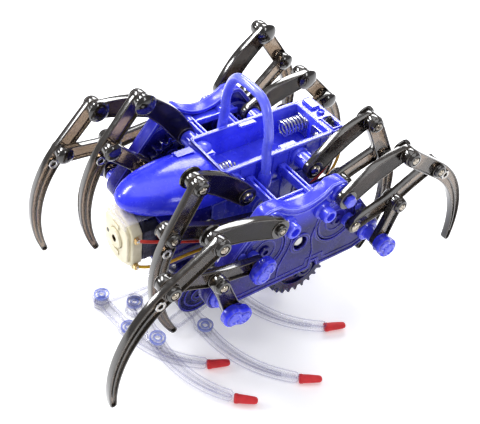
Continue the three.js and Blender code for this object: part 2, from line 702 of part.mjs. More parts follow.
CLEAR_LEGS.forEach((leg, index) => {
  const chord = Math.hypot(leg.tip[0] - leg.root[0], leg.tip[1] - leg.root[1]);
  const size = chord / CHORD;
  const line = clawLine(size, 12).map(([a, b]) => [a, -b]);
  const last = line.length - 1;
  const widths = line.map((_, i) => (i < 2 ? 3.9 : 3.2 - 1.5 * ((i - 1) / (last - 1))));
  const shape = ribbon(line, widths);
  const whole = upright(shape, 0, CLEAR_THICKNESS);
  const end = line[last];
  const before = line[last - 2];
  const heading = angleOf(before, end);
  const cutter = (from, to) => {
    const block = new THREE.BoxGeometry(to - from, 20, 20).translate((from + to) / 2, 0, 0);
    return solid(block.rotateZ(heading).translate(end[0], end[1], 0));
  };
  // A lifted root slopes down to the table, so that its leg passes over the one beside it.
  const group = new THREE.Group();
  group.rotation.order = "ZYX";
  group.position.set(...leg.root, FLOOR + leg.lift);
  group.rotation.z = angleOf(leg.root, leg.tip);
  group.rotation.y = Math.asin(leg.lift / chord);
  const turned = new THREE.Group();
  turned.rotation.z = -CHORD_ANGLE;
  group.add(turned);
  root.add(group);
  const knee = TOP_TO_KNEE * size;
  const body = cut(whole, [
    cutter(-TIP_LENGTH, 10),
    barZ(0, 0, PIN_HOLE, -1, CLEAR_THICKNESS + 1),
    barZ(knee, 0, PIN_HOLE, -1, CLEAR_THICKNESS + 1),
  ]);
  add(`clear_leg_${index + 1}`, body, CLEAR.clone(), turned);
  const profile = [[0, 0], [2.2, 0], [2.3, 2], [1.8, 8], [1.1, TIP_LENGTH], [0, TIP_LENGTH]];
  const cap = new THREE.LatheGeometry(profile.map((point) => new THREE.Vector2(...point)), 12);
  const setBack = GAP - TIP_LENGTH;
  const x = end[0] + Math.cos(heading) * setBack;
  const y = end[1] + Math.sin(heading) * setBack;
  cap.scale(1, 1, CLEAR_THICKNESS / 2 / 2.3);
  cap.rotateZ(heading - Math.PI / 2);
  cap.translate(x, y, CLEAR_THICKNESS / 2);
  add(`red_tip_${index + 1}`, solid(cap), plastic(0xd8202a, 0.7), turned);
});

function makeBase() {
  const rail = (points, halfWidth) =>
    upright(ribbon(points, points.map(() => halfWidth)), BASE_BOTTOM, BASE_TOP);
  const rear = [-13.5, 30];
  const pieces = [
    rail([CLEAR_LEGS[0].root, [-14, -20], rear], 4.2),
    rail([CLEAR_LEGS[1].root, [-8, -26], [0, -8]], 3.8),
    rail([CLEAR_LEGS[2].root, [0, -8], CLEAR_LEGS[3].root], 3.6),
    rail([[11.5, -37], [8, -22], [3, -8]], 3.2),
    box(-12.2, 12.2, -11, -5, BASE_BOTTOM, BASE_TOP),
    box(-12.2, 12.2, 15, 21, BASE_BOTTOM, BASE_TOP),
    rail([rear, [0, 22], [8, 18]], 3.4),
    rail([[0, -8], [1, 18]], 4),
    barZ(...rear, 5, FLOOR, BASE_BOTTOM + 0.5, 20),
  ];
  for (const leg of CLEAR_LEGS) {
    const low = leg.lift > 0 ? BASE_BOTTOM : FLOOR + 0.4;
    const high = leg.lift > 0 ? BASE_TOP + CLEAR_THICKNESS - GAP : BASE_TOP;
    pieces.push(barZ(...leg.root, PIN_RADIUS - 0.2, low, high));
  }
  return join(pieces);
}
add("clear_base", makeBase(), CLEAR.clone());

// The origin is on the table, under the middle of the whole object's outline.
const extent = new THREE.Box3().setFromObject(root, true);
const middle = extent.getCenter(new THREE.Vector3());
root.position.set(-middle.x, -middle.y, -extent.min.z);

export default root;
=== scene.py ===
import json
import math

import bmesh
import bpy
from mathutils import Matrix, Vector


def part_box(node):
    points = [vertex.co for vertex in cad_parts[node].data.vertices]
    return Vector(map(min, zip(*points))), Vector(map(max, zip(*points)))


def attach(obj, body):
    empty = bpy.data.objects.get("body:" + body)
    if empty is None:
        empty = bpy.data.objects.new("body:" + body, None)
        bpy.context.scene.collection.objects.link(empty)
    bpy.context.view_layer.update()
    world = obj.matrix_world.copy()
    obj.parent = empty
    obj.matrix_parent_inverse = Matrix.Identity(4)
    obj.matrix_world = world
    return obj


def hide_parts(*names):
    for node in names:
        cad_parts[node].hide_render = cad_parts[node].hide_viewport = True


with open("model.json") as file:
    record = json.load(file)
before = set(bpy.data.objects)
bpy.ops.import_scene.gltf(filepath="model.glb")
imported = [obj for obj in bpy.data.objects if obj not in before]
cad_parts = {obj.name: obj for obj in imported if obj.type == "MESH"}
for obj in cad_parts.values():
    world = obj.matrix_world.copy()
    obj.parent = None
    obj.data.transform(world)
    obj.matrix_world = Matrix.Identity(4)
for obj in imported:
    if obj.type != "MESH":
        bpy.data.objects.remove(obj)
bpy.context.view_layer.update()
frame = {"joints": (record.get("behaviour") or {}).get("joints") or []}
MM = 0.001
CORNERS = ("left_front", "left_rear", "right_front", "right_rear")
JOINT = {joint["name"]: joint for joint in frame["joints"]}
AXLE_HEIGHT = -19
SHIFT = Vector(JOINT["main_axle_spin"]["pos_m"]) - Vector((0, 0, AXLE_HEIGHT)) * MM

# The same sizes as the CAD part. Pairs are spans in X, or places in Y and Z.
INNER_LINKS, INNER_CLAWS = (19.8, 22.8), (23.2, 26.2)
OUTER_LINKS, OUTER_CLAWS = (40.4, 43.4), (43.8, 46.8)
GEARS, SIDE_PLATE, CRANK_DISC = (27.2, 31), (32.2, 38.2), (35.7, 38)
UPPER_PIVOT, LOWER_PIVOT, CRANK_CENTRE = (16.4, 0), (36.7, -28.6), (17.7, -15)
LOWER_ROCKER, CRANK_TO_ELBOW, ELBOW_TO_KNEE, CRANK_RADIUS = 18.4, 20, 21.8, 6.2
COUPLER_BEND = math.radians(10.4)
CLAW_TIP = (65.9, 25.9)
TOP_TO_KNEE = 22.5
PIN, PIN_HOLE, GAP = 1.6, 1.9, 0.35
MAIN_AXLE_END, LOWER_AXLE_END = 37.1, 34.7


def node_box(name):
    """Lowest and highest corner of a CAD node in the chassis frame, in millimetres."""
    return tuple((Vector(corner) - SHIFT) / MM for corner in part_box(name))


def joint_at(name):
    """A joint's place in the chassis frame, in millimetres."""
    return (Vector(JOINT[name]["pos_m"]) - SHIFT) / MM


def sides_of(corner):
    """Which way out (+1 is left) and which way along (+1 is to the rear) a corner lies."""
    return 1 if corner.startswith("left") else -1, -1 if corner.endswith("front") else 1


# ---- node materials -----------------------------------------------------------------------


class Shader:
    """A principled material with colour, roughness and bump from noise."""

    def __init__(self, name):
        self.material = bpy.data.materials.new(name)
        self.material.use_nodes = True
        self.tree = self.material.node_tree
        self.main = self.tree.nodes["Principled BSDF"]
        self.coords = self.node("ShaderNodeTexCoord").outputs["Object"]

    def node(self, kind, **values):
        made = self.tree.nodes.new(kind)
        for key, value in values.items():
            if key in made.inputs:
                made.inputs[key].default_value = value
            else:
                setattr(made, key, value)
        return made

    def link(self, source, target):
        self.tree.links.new(source, target)

    def noise(self, scale, detail=4, stretch=(1, 1, 1), roughness=0.55):
        mapping = self.node("ShaderNodeMapping")
        mapping.inputs["Scale"].default_value = stretch
        self.link(self.coords, mapping.inputs["Vector"])
        made = self.node("ShaderNodeTexNoise", Scale=scale, Detail=detail, Roughness=roughness)
        self.link(mapping.outputs["Vector"], made.inputs["Vector"])
        return made.outputs["Fac"]

    def ramp(self, source, stops):
        made = self.node("ShaderNodeValToRGB")
        elements = made.color_ramp.elements
        elements[0].position, elements[0].color = stops[0][0], (*stops[0][1], 1)
        elements[1].position, elements[1].color = stops[-1][0], (*stops[-1][1], 1)
        for position, colour in stops[1:-1]:
            elements.new(position).color = (*colour, 1)
        self.link(source, made.inputs["Fac"])
        return made.outputs["Color"]

    def blend(self, share, first, second):
        made = self.node("ShaderNodeMix", data_type="RGBA")
        self.link(share, made.inputs[0])
        for socket, value in ((made.inputs[6], first), (made.inputs[7], second)):
            if isinstance(value, tuple):
                socket.default_value = (*value, 1)
            else:
                self.link(value, socket)
        return made.outputs[2]

    def span(self, source, low, high, start=0.3, end=0.7, **values):
        """Maps the source's stretch from start to end onto low to high."""
        limits = {"From Min": start, "From Max": end, "To Min": low, "To Max": high}
        made = self.node("ShaderNodeMapRange", **values, **limits)
        self.link(source, made.inputs["Value"])
        return made.outputs["Result"]

    def colour(self, source):
        self.link(source, self.main.inputs["Base Color"])

    def roughness(self, low, high, scale=420, stretch=(1, 1, 1)):
        self.link(self.span(self.noise(scale, 5, stretch), low, high), self.main.inputs["Roughness"])

    def bump(self, source, strength, distance=0.0002):
        made = self.node("ShaderNodeBump", Strength=strength, Distance=distance)
        self.link(source, made.inputs["Height"])
        self.link(made.outputs["Normal"], self.main.inputs["Normal"])

    def set(self, **values):
        for key, value in values.items():
            self.main.inputs[key.replace("_", " ")].default_value = value
        return self.material


def blue_plastic(name, deep, mid, pale, scatter=0.2, coat=0.5, ior=1.5, top=None):
    """Translucent blue moulding: it scatters inside and clouds towards a paler blue.
    Where a top colour is given, the colour is painted paler towards the top: painted light on a tall moulding
    lit through its top edge."""
    s = Shader(name)
    flow = s.ramp(s.noise(60, 5), [(0.3, deep), (0.52, mid), (0.75, mid)])
    cloud = s.ramp(s.noise(190, 3), [(0.4, (0.0, 0.0, 0.0)), (0.8, (0.35, 0.35, 0.35))])
    body = s.blend(cloud, flow, pale)
    # Painted light: the colour rises smoothly to the top colour over the upper part of the frame's height.
    if top:
        split = s.node("ShaderNodeSeparateXYZ")
        s.link(s.coords, split.inputs[0])
        start, end = SHIFT.z - 13.5 * MM, SHIFT.z - 1.5 * MM
        rise = s.span(split.outputs["Z"], 0, 1, start, end, interpolation_type="SMOOTHSTEP")
        body = s.blend(rise, body, top)
    s.colour(body)
    s.roughness(0.16, 0.32)
    s.bump(s.noise(900, 6), 0.08)
    s.set(Subsurface_Weight=scatter, Subsurface_Scale=0.0016, Subsurface_Radius=(0.35, 0.4, 1.0))
    return s.set(Coat_Weight=coat, Coat_Roughness=0.06, IOR=ior)


BLUE = blue_plastic("blue_plastic", (0.030, 0.036, 0.62), (0.062, 0.075, 0.86), (0.14, 0.16, 0.96))
NOSE_BLUE = blue_plastic(
    "nose_blue", (0.016, 0.020, 0.58), (0.028, 0.036, 0.82), (0.06, 0.075, 0.95), coat=0.2, ior=1.4
)
CAP_BLUE = blue_plastic(
    "cap_blue", (0.012, 0.014, 0.34), (0.030, 0.034, 0.56), (0.07, 0.08, 0.80), coat=0.3, ior=1.45
)
HANDLE_BLUE = blue_plastic("handle_blue", (0.075, 0.09, 0.76), (0.13, 0.155, 0.92), (0.26, 0.29, 1.0))
# Painted highlight: the paler blue on the rounded edges of the blue mouldings.
BLUE_EDGE_HIGHLIGHT = blue_plastic("blue_edge_painted_highlight", (0.10, 0.11, 0.80), (0.20, 0.22, 0.95), (0.42, 0.44, 1.0), 0.1)
# The frames' top colours are painted light: the side frames turn paler towards their top, where the light
# falls.
FRAME_BLUE = blue_plastic(
    "frame_blue", (0.004, 0.003, 0.07), (0.011, 0.008, 0.16), (0.03, 0.026, 0.36),
    scatter=0.1, coat=0.05, ior=1.34, top=(0.05, 0.055, 0.72),
)
# Painted highlight: a paler blue on the frames' and gear housing's rounded edges, paler still towards the
# top.
FRAME_EDGE_HIGHLIGHT = blue_plastic(
    "frame_edge_painted_highlight", (0.016, 0.014, 0.24), (0.042, 0.038, 0.46), (0.12, 0.12, 0.80),
    scatter=0.1, coat=0.3, ior=1.45, top=(0.26, 0.28, 0.95),
)
# Painted shade: the gears and the housings low between the frames are painted near-black blue for the shadow
# they sit in under the chassis.
SHADED_GEAR_BLUE = blue_plastic(
    "gear_blue", (0.001, 0.001, 0.018), (0.003, 0.002, 0.05), (0.012, 0.012, 0.16),
    scatter=0.05, coat=0.1, ior=1.4,
)


def smoke_plastic(name, dark, light, clear, coat=0.3, ior=1.5):
    """Smoke-brown moulding; the clear share of the light passes through it."""
    s = Shader(name)
    s.colour(s.ramp(s.noise(70, 5, (1, 1, 0.6)), [(0.28, dark), (0.72, light)]))
    s.roughness(0.10, 0.22)
    s.bump(s.noise(700, 6), 0.04)
    return s.set(Coat_Weight=coat, Coat_Roughness=0.05, IOR=ior, Transmission_Weight=clear)


SMOKE = smoke_plastic("smoke_plastic", (0.006, 0.0045, 0.0035), (0.015, 0.011, 0.008), 0.0, 0.75, 1.55)
# The rounded edges of the smoke mouldings, lighter than the body: partly the smoke plastic's own brown,
# partly a painted highlight.
SMOKE_EDGE = smoke_plastic("smoke_edge", (0.020, 0.014, 0.009), (0.058, 0.042, 0.028), 0.0, 0.9, 1.55)
SMOKE_WEB = smoke_plastic("smoke_web", (0.125, 0.088, 0.060), (0.215, 0.160, 0.115), 0.93)
SMOKE_PANEL = smoke_plastic("smoke_panel", (0.013, 0.009, 0.007), (0.038, 0.027, 0.022), 0.78, 0.0, 1.32)


def clear_plastic(name, low, high, alpha):
    """Clear moulding, thin enough to let most of the light straight through."""
    s = Shader(name)
    s.colour(s.ramp(s.noise(80, 4), [(0.3, low), (0.7, high)]))
    s.roughness(0.04, 0.12)
    s.bump(s.noise(220, 3), 0.02)
    return s.set(Alpha=alpha, IOR=1.5, Coat_Weight=0.4, Coat_Roughness=0.03)


CLEAR = clear_plastic("clear_plastic", (0.84, 0.83, 0.97), (0.95, 0.94, 1.0), 0.10)
# Painted shade: darker lilac lines along the rounded edges of the clear mouldings.
CLEAR_EDGE_SHADE = clear_plastic("clear_edge_painted_shade", (0.14, 0.14, 0.42), (0.28, 0.28, 0.62), 0.33)
# Painted shade: blue rings on the clear pivot bosses stand in for the blue shading seen in the clear plastic
# there.
CLEAR_BOSS_SHADE = clear_plastic("clear_boss_painted_shade", (0.10, 0.15, 0.62), (0.20, 0.27, 0.80), 0.6)


def matte(name, low, high, roughness=(0.35, 0.5), bump=0.25, **values):
    """A plain opaque plastic or rubber."""
    s = Shader(name)
    s.colour(s.ramp(s.noise(160, 5), [(0.3, low), (0.7, high)]))
    s.roughness(*roughness)
    s.bump(s.noise(1400, 6), bump)
    return s.set(**values)


RED = matte("red_rubber", (0.56, 0.008, 0.014), (0.76, 0.020, 0.028), (0.55, 0.75), 0.5, Sheen_Weight=0.15)
CREAM = matte("cream_plastic", (0.60, 0.54, 0.36), (0.78, 0.72, 0.54), Coat_Weight=0.15)
WHITE = matte("white_plastic", (0.72, 0.71, 0.67), (0.84, 0.83, 0.80))
BLACK = matte("black_plastic", (0.010, 0.010, 0.011), (0.024, 0.024, 0.026), (0.35, 0.55))
RED_WIRE = matte("red_wire", (0.42, 0.012, 0.008), (0.62, 0.03, 0.015), bump=0.15)
YELLOW_WIRE = matte("yellow_wire", (0.66, 0.34, 0.012), (0.82, 0.50, 0.03), bump=0.15)


def metal(name, low, high, roughness, stretch=(1, 1, 1)):
    """A bare metal; a stretch below one draws its grain out along that axis."""
    s = Shader(name)
    s.colour(s.ramp(s.noise(500, 5, stretch), [(0.3, low), (0.7, high)]))
    s.roughness(*roughness, scale=900, stretch=stretch)
    s.bump(s.noise(1600, 4, stretch), 0.18)
    return s.set(Metallic=1.0)


# Painted shade: the motor can's steel, painted near-black for the shadow between the end bell and the
# gearbox.
STEEL_IN_SHADE = metal("steel_painted_shade", (0.020, 0.020, 0.032), (0.075, 0.075, 0.11), (0.25, 0.4), (1, 0.08, 1))
STEEL = metal("steel", (0.50, 0.50, 0.52), (0.72, 0.72, 0.74), (0.18, 0.34), (1, 0.08, 1))
CAP_METAL = metal("cap_metal", (0.24, 0.20, 0.15), (0.60, 0.55, 0.47), (0.14, 0.26))
BRASS = metal("brass_contact", (0.60, 0.42, 0.18), (0.80, 0.60, 0.30), (0.2, 0.35))

# What the pieces in each slot are mostly made of.
MAIN = {"blue_plastic": BLUE, "gear_blue": SHADED_GEAR_BLUE, "smoke_plastic": SMOKE, "clear_plastic": CLEAR}
MAIN.update({"cream_plastic": CREAM, "white_plastic": WHITE, "black_plastic": BLACK, "steel": STEEL})

# What the rounded edges of a moulding in each material show. Most of these are painted light: a paler painted
# highlight along the edges of the blue mouldings, a lighter brown on the smoke that is partly a painted
# highlight, and darker painted shade along the clear mouldings' edges.
RIMS = {BLUE: BLUE_EDGE_HIGHLIGHT, NOSE_BLUE: BLUE_EDGE_HIGHLIGHT, FRAME_BLUE: FRAME_EDGE_HIGHLIGHT, SHADED_GEAR_BLUE: FRAME_BLUE}
RIMS.update({SMOKE: SMOKE_EDGE, SMOKE_WEB: SMOKE, CLEAR: CLEAR_EDGE_SHADE})


# ---- mesh pieces --------------------------------------------------------------------------


def face_outward(made):
    bmesh.ops.recalc_face_normals(made, faces=made.faces)
    if made.calc_volume(signed=True) < 0:
        bmesh.ops.reverse_faces(made, faces=made.faces)
    return made


def mark_rounding(made, is_flat, is_wall):
    """Gives the rounded edges material index 1, and keeps the flat faces flat beside them."""
    for face in made.faces:
        face.material_index = 0 if is_flat(face.normal) or is_wall(face.normal) else 1
    for edge in made.edges:
        if len({is_flat(face.normal) for face in edge.link_faces}) > 1:
            edge.smooth = False


ALONG_X = Matrix(((0, 0, 1, 0), (1, 0, 0, 0), (0, 1, 0, 0), (0, 0, 0, 1)))
ALONG_Y = Matrix(((1, 0, 0, 0), (0, 0, 1, 0), (0, 1, 0, 0), (0, 0, 0, 1)))
ALONG_Z = Matrix.Identity(4)


def arc(a, b, radius, start, end, steps=10):
    """Points round a centre, from one angle to another."""
    turns = (start + (end - start) * k / steps for k in range(steps + 1))
    return [(a + radius * math.cos(t), b + radius * math.sin(t)) for t in turns]


def circle(a, b, radius, count=28):
    return arc(a, b, radius, 0, 2 * math.pi, count)[:-1]


def plate(loops, low, high, axes=ALONG_X, bevel=0.3, rounds=2):
    """A flat outline with holes, made solid from low to high, with rounded edges."""
    low, high = min(low, high), max(low, high)
    curve = bpy.data.curves.new("outline", "CURVE")
    curve.dimensions = "2D"
    curve.fill_mode = "BOTH"
    for loop in loops:
        spline = curve.splines.new("POLY")
        spline.points.add(len(loop) - 1)
        for point, (a, b) in zip(spline.points, loop):
            point.co = (a, b, 0, 1)
        spline.use_cyclic_u = True
    bevel = min(bevel, (high - low) / 2 - 0.01)
    curve.extrude = (high - low) / 2 - bevel
    curve.bevel_depth = bevel
    curve.bevel_resolution = rounds
    curve.offset = -bevel
    holder = bpy.data.objects.new("outline", curve)
    mesh = bpy.data.meshes.new_from_object(holder)
    bpy.data.objects.remove(holder)
    bpy.data.curves.remove(curve)
    made = bmesh.new()
    made.from_mesh(mesh)
    bpy.data.meshes.remove(mesh)
    bmesh.ops.remove_doubles(made, verts=made.verts, dist=0.002)
    made.normal_update()
    mark_rounding(made, lambda normal: abs(normal.z) > 0.97, lambda normal: abs(normal.z) < 0.08)
    made.transform(Matrix.Translation((0, 0, (low + high) / 2)))
    made.transform(axes)
    return face_outward(made)


def upright(loops, low, high, bevel=0.3):
    return plate(loops, low, high, ALONG_Z, bevel)


def ring(centre, radius, hole, low, high, bevel=0.3, sides=28, hole_sides=24):
    """A flat ring with rounded edges, seen from the side."""
    return plate([circle(*centre, radius, sides), circle(*centre, hole, hole_sides)], low, high, bevel=bevel)


def rectangle(a0, a1, b0, b1, radius=0.6):
    """A rectangle with rounded corners."""
    left, right, bottom, top = a0 + radius, a1 - radius, b0 + radius, b1 - radius
    loop = []
    for turn, (a, b) in enumerate(((right, bottom), (right, top), (left, top), (left, bottom))):
        loop += arc(a, b, radius, (turn - 1) * math.pi / 2, turn * math.pi / 2, 4)
    return loop


def box(x0, x1, y0, y1, z0, z1, bevel=0.35):
    made = bmesh.new()
    size = (abs(x1 - x0), abs(y1 - y0), abs(z1 - z0))
    bmesh.ops.create_cube(made, size=1, matrix=Matrix.Diagonal((*size, 1)))
    bevel = min(bevel, min(size) * 0.3)
    bmesh.ops.bevel(made, geom=list(made.edges), offset=bevel, segments=2, affect="EDGES")
    made.normal_update()
    mark_rounding(made, lambda normal: max(abs(v) for v in normal) > 0.995, lambda normal: False)
    made.transform(Matrix.Translation(((x0 + x1) / 2, (y0 + y1) / 2, (z0 + z1) / 2)))
    return made


def turned(profile, origin, axis=(1, 0, 0), segments=24):
    """A profile of (distance along the axis, radius) points turned round the axis."""
    made = bmesh.new()
    upright_to_axis = Vector(axis).to_track_quat("Z", "Y").to_matrix().to_4x4()
    rings = []
    for along, radius in profile:
        spokes = circle(0, 0, radius, segments) if radius else [(0, 0)]
        rings.append([made.verts.new((*point, along)) for point in spokes])
    for first, second in zip(rings, rings[1:]):
        order = ((first, 0), (first, 1), (second, 1), (second, 0))
        for k in range(segments):
            corners = list(dict.fromkeys(each[(k + step) % len(each)] for each, step in order))
            if len(corners) > 2:
                made.faces.new(corners)
    made.transform(Matrix.Translation(origin) @ upright_to_axis)
    return face_outward(made)


def disc(radius, height, origin, axis, segments=24):
    """A plain pin or washer that stands on its origin."""
    return turned([(0, 0), (0, radius), (height, radius), (height, 0)], origin, axis, segments)


def washer(radius, hole, height, origin, segments=28):
    """A sharp-edged ring that lies flat."""
    profile = [(0, hole), (height, hole), (height, radius), (0, radius)]
    return turned(profile, origin, (0, 0, 1), segments)


def barrel(side, low, high, centre, radius, edge=0.25, bore=0.0, segments=28):
    """A round boss out along X from low to high on one side, with softened rims and,
    where a bore is given, a blind hole in its far end."""
    length = abs(high - low)
    profile = [(0, 0), (0, radius - edge), (edge, radius), (length - edge, radius), (length, radius - edge)]
    if bore:
        floor = length - min(1.6, length / 2)
        profile += [(length, bore), (floor, bore * 0.95), (floor, 0)]
    else:
        profile += [(length, 0)]
    direction = side if high > low else -side
    return turned(profile, (side * low, *centre), (direction, 0, 0), segments)


def catmull(points, steps=6):
    """A smooth line through points of any dimension."""
    points = [Vector(p) for p in points]
    last = len(points) - 1
    line = []
    for i in range(last):
        before, start, end, after = (points[min(max(i + k, 0), last)] for k in (-1, 0, 1, 2))
        bend = 2 * before - 5 * start + 4 * end - after
        twist = 3 * start - before - 3 * end + after
        for k in range(steps):
            t = k / steps
            line.append(0.5 * (2 * start + (end - before) * t + bend * t * t + twist * t**3))
    return line + [points[-1]]


def tube(path, radius, sides=14):
    """A round bar along a path."""
    path = [Vector(p) for p in path]
    last = len(path) - 1
    headings = [(path[min(i + 1, last)] - path[max(i - 1, 0)]).normalized() for i in range(last + 1)]
    made = bmesh.new()
    up = headings[0].orthogonal()
    rings = []
    for point, ahead in zip(path, headings):
        up = (up - ahead * up.dot(ahead)).normalized()
        across = ahead.cross(up)
        spokes = circle(0, 0, radius, sides)
        rings.append([made.verts.new(point + a * up + b * across) for a, b in spokes])
    for first, second in zip(rings, rings[1:]):
        for k in range(sides):
            after = (k + 1) % sides
            made.faces.new((first[k], first[after], second[after], second[k]))
    made.faces.new(rings[0])
    made.faces.new(rings[-1])
    return face_outward(made)


class Piece:
    """One visible piece: parts in several materials that ride on one CAD body."""

    def __init__(self, name, body, slot, replaces=()):
        self.name, self.body, self.slot, self.nodes = name, body, slot, replaces
        self.shape = bmesh.new()
        self.materials = []

    def put(self, part, material=None, rim=None):
        """Adds a part, in its slot's main material unless another is given. Its rounded
        edges take the rim material."""
        material = material or MAIN[self.slot]
        pair = (material, rim or RIMS.get(material, material))
        for wanted in pair:
            if wanted not in self.materials:
                self.materials.append(wanted)
        for face in part.faces:
            face.material_index = self.materials.index(pair[min(face.material_index, 1)])
        mesh = bpy.data.meshes.new("part")
        part.to_mesh(mesh)
        part.free()
        self.shape.from_mesh(mesh)
        bpy.data.meshes.remove(mesh)
        return self

    def done(self, angle=38):
        for edge in self.shape.edges:
            if len(edge.link_faces) != 2 or edge.calc_face_angle() > math.radians(angle):
                edge.smooth = False
        for face in self.shape.faces:
            face.smooth = True
        mesh = bpy.data.meshes.new(self.name)
        self.shape.transform(Matrix.Translation(SHIFT) @ Matrix.Scale(MM, 4))
        self.shape.to_mesh(mesh)
        self.shape.free()
        for material in self.materials:
            mesh.materials.append(material)
        made = bpy.data.objects.new(self.name, mesh)
        bpy.context.scene.collection.objects.link(made)
        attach(made, self.body)
        if self.nodes:
            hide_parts(*self.nodes)
        return made


def ribbon(line, halves, less=0.0, round_steps=9):
    """The outline of a strip of changing width with round ends, drawn in by less than its width."""
    last = len(line) - 1
    if not isinstance(halves, list):
        halves = [halves] * (last + 1)

    def heading(i):
        a, b = line[max(i - 1, 0)], line[min(i + 1, last)]
        return math.atan2(b[1] - a[1], b[0] - a[0])

    def put(i, t):
        half = halves[i] - less
        return (line[i][0] + half * math.cos(t), line[i][1] + half * math.sin(t))

    quarter, step = math.pi / 2, math.pi / round_steps
    loop = [put(i, heading(i) - quarter) for i in range(last)]
    loop += [put(last, heading(last) - quarter + step * k) for k in range(round_steps + 1)]
    loop += [put(i, heading(i) + quarter) for i in range(last - 1, 0, -1)]
    loop += [put(0, heading(0) + quarter + step * k) for k in range(round_steps)]
    return loop


def smooth(points, halves):
    """Denser points of a strip's middle line, with their half-widths."""
    dense = catmull([(*p, w) for p, w in zip(points, halves)])
    return [(p[0], p[1]) for p in dense], [p[2] for p in dense]


# ---- legs ---------------------------------------------------------------------------------


def meet(first, first_length, second, second_length, side):
    """Where two links meet, on the given side of the line between their pivots."""
    along = second - first
    foot = (first_length**2 - second_length**2 + along.length_squared) / (2 * along.length)
    height = side * math.sqrt(first_length**2 - foot**2)
    unit = along.normalized()
    return first + unit * foot + Vector((-unit.y, unit.x)) * height


def local_line(start, end):
    """Maps points drawn along and across the line from start to end into the leg's plane."""
    unit = (end - start).normalized()
    across = Vector((-unit.y, unit.x))
    return lambda a, b: tuple(start + unit * a + across * b)


def bent_line(size, steps):
    """The middle line of a claw or a clear leg: straight to the knee, then one long arc."""
    knee = TOP_TO_KNEE * size
    run, rise = CLAW_TIP[0] * size - knee, CLAW_TIP[1] * size
    half = math.atan2(rise, run)
    radius = math.hypot(rise, run) / (2 * math.sin(half))
    turns = [2 * half * k / steps for k in range(steps + 1)]
    line = [(knee * k / 8, 0) for k in range(8)]
    return line + [(knee + radius * math.sin(t), radius * (1 - math.cos(t))) for t in turns]


# Turned ends, as shares of their height and radius.
CAP = ((0, 0), (0, 1), (0.35, 0.98), (0.75, 0.78), (1, 0.42), (0.98, 0.24), (0.8, 0.16), (0.78, 0))
COLLAR = ((0, 0), (0, 1), (0.45, 1), (0.8, 0.86), (0.9, 0.62), (0.55, 0.58), (0.55, 0))
KNOB = ((0, 0), (0, 0.96), (0.3, 1), (0.6, 0.86), (0.85, 0.6), (1, 0.25), (1, 0))


def stud(shape, centre, x, side, radius, height, segments=24):
    """A turned end that stands out from x towards the given side."""
    profile = [(height * along, radius * out) for along, out in shape]
    return turned(profile, (x, *centre), (side, 0, 0), segments)


def cap(centre, x, side, radius=2.3, height=1.3):
    """A screw head with a dimple, on the outer face of a link at x."""
    return stud(CAP, centre, side * x, side, radius, height, 20)


def joint_end(piece, centre, x, side, radius, height):
    """A dark moulded collar with a small screw head in it, on the outer face of a link at x."""
    piece.put(stud(COLLAR, centre, side * x, side, radius, height), SMOKE)
    piece.put(cap(centre, x + height * 0.5, side, radius * 0.55, height * 0.6), CAP_METAL)


def knob(piece, centre, x, side, radius, height=1.8):
    """A dark domed pin end on the inner face of a link at x."""
    piece.put(stud(KNOB, centre, side * x, -side, radius, height, 26), SMOKE)


def wing_cap(piece, centre, x, side, tilt, reach=2.4, depth=4.0):
    """A fat two-lobed key cap on the end of a pin, with a shallow ring on each lobe."""
    unit = Vector((math.cos(tilt), math.sin(tilt)))
    place = local_line(Vector(centre), Vector(centre) + unit)
    lobes, widths = smooth([(-reach, 0), (0, 0), (reach, 0)], [4.3, 3.6, 3.9])
    loop = [place(a, b) for a, b in ribbon(lobes, widths)]
    # The cap's rounded edges take the paler nose blue: a painted highlight.
    piece.put(plate([loop], side * x, side * (x + depth), bevel=1.1, rounds=4), CAP_BLUE, NOSE_BLUE)
    piece.put(barrel(side, x - 0.2, x + 0.6, centre, 4.3, 0.3), FRAME_BLUE)
    for end, radius in ((-reach, 2.9), (reach, 2.5)):
        profile = [(0, 0), (0, 1), (0.5, 0.94), (0.75, 0.7), (0.35, 0.55), (0.35, 0)]
        profile = [(along, radius * out) for along, out in profile]
        piece.put(turned(profile, (side * (x + depth - 0.15), *place(end, 0)), (side, 0, 0)), BLUE)


# How a link is moulded: how far the rim and the web are drawn in, the web's share of the
# thickness, the rounding of the rim and of the web, and the web's material.
OPEN_LINK = (0.62, 0.31, 0.42, 0.28, 0.1, SMOKE_WEB)
PANEL_LINK = (0.55, 0.3, 0.84, 0.22, 0.2, SMOKE_PANEL)


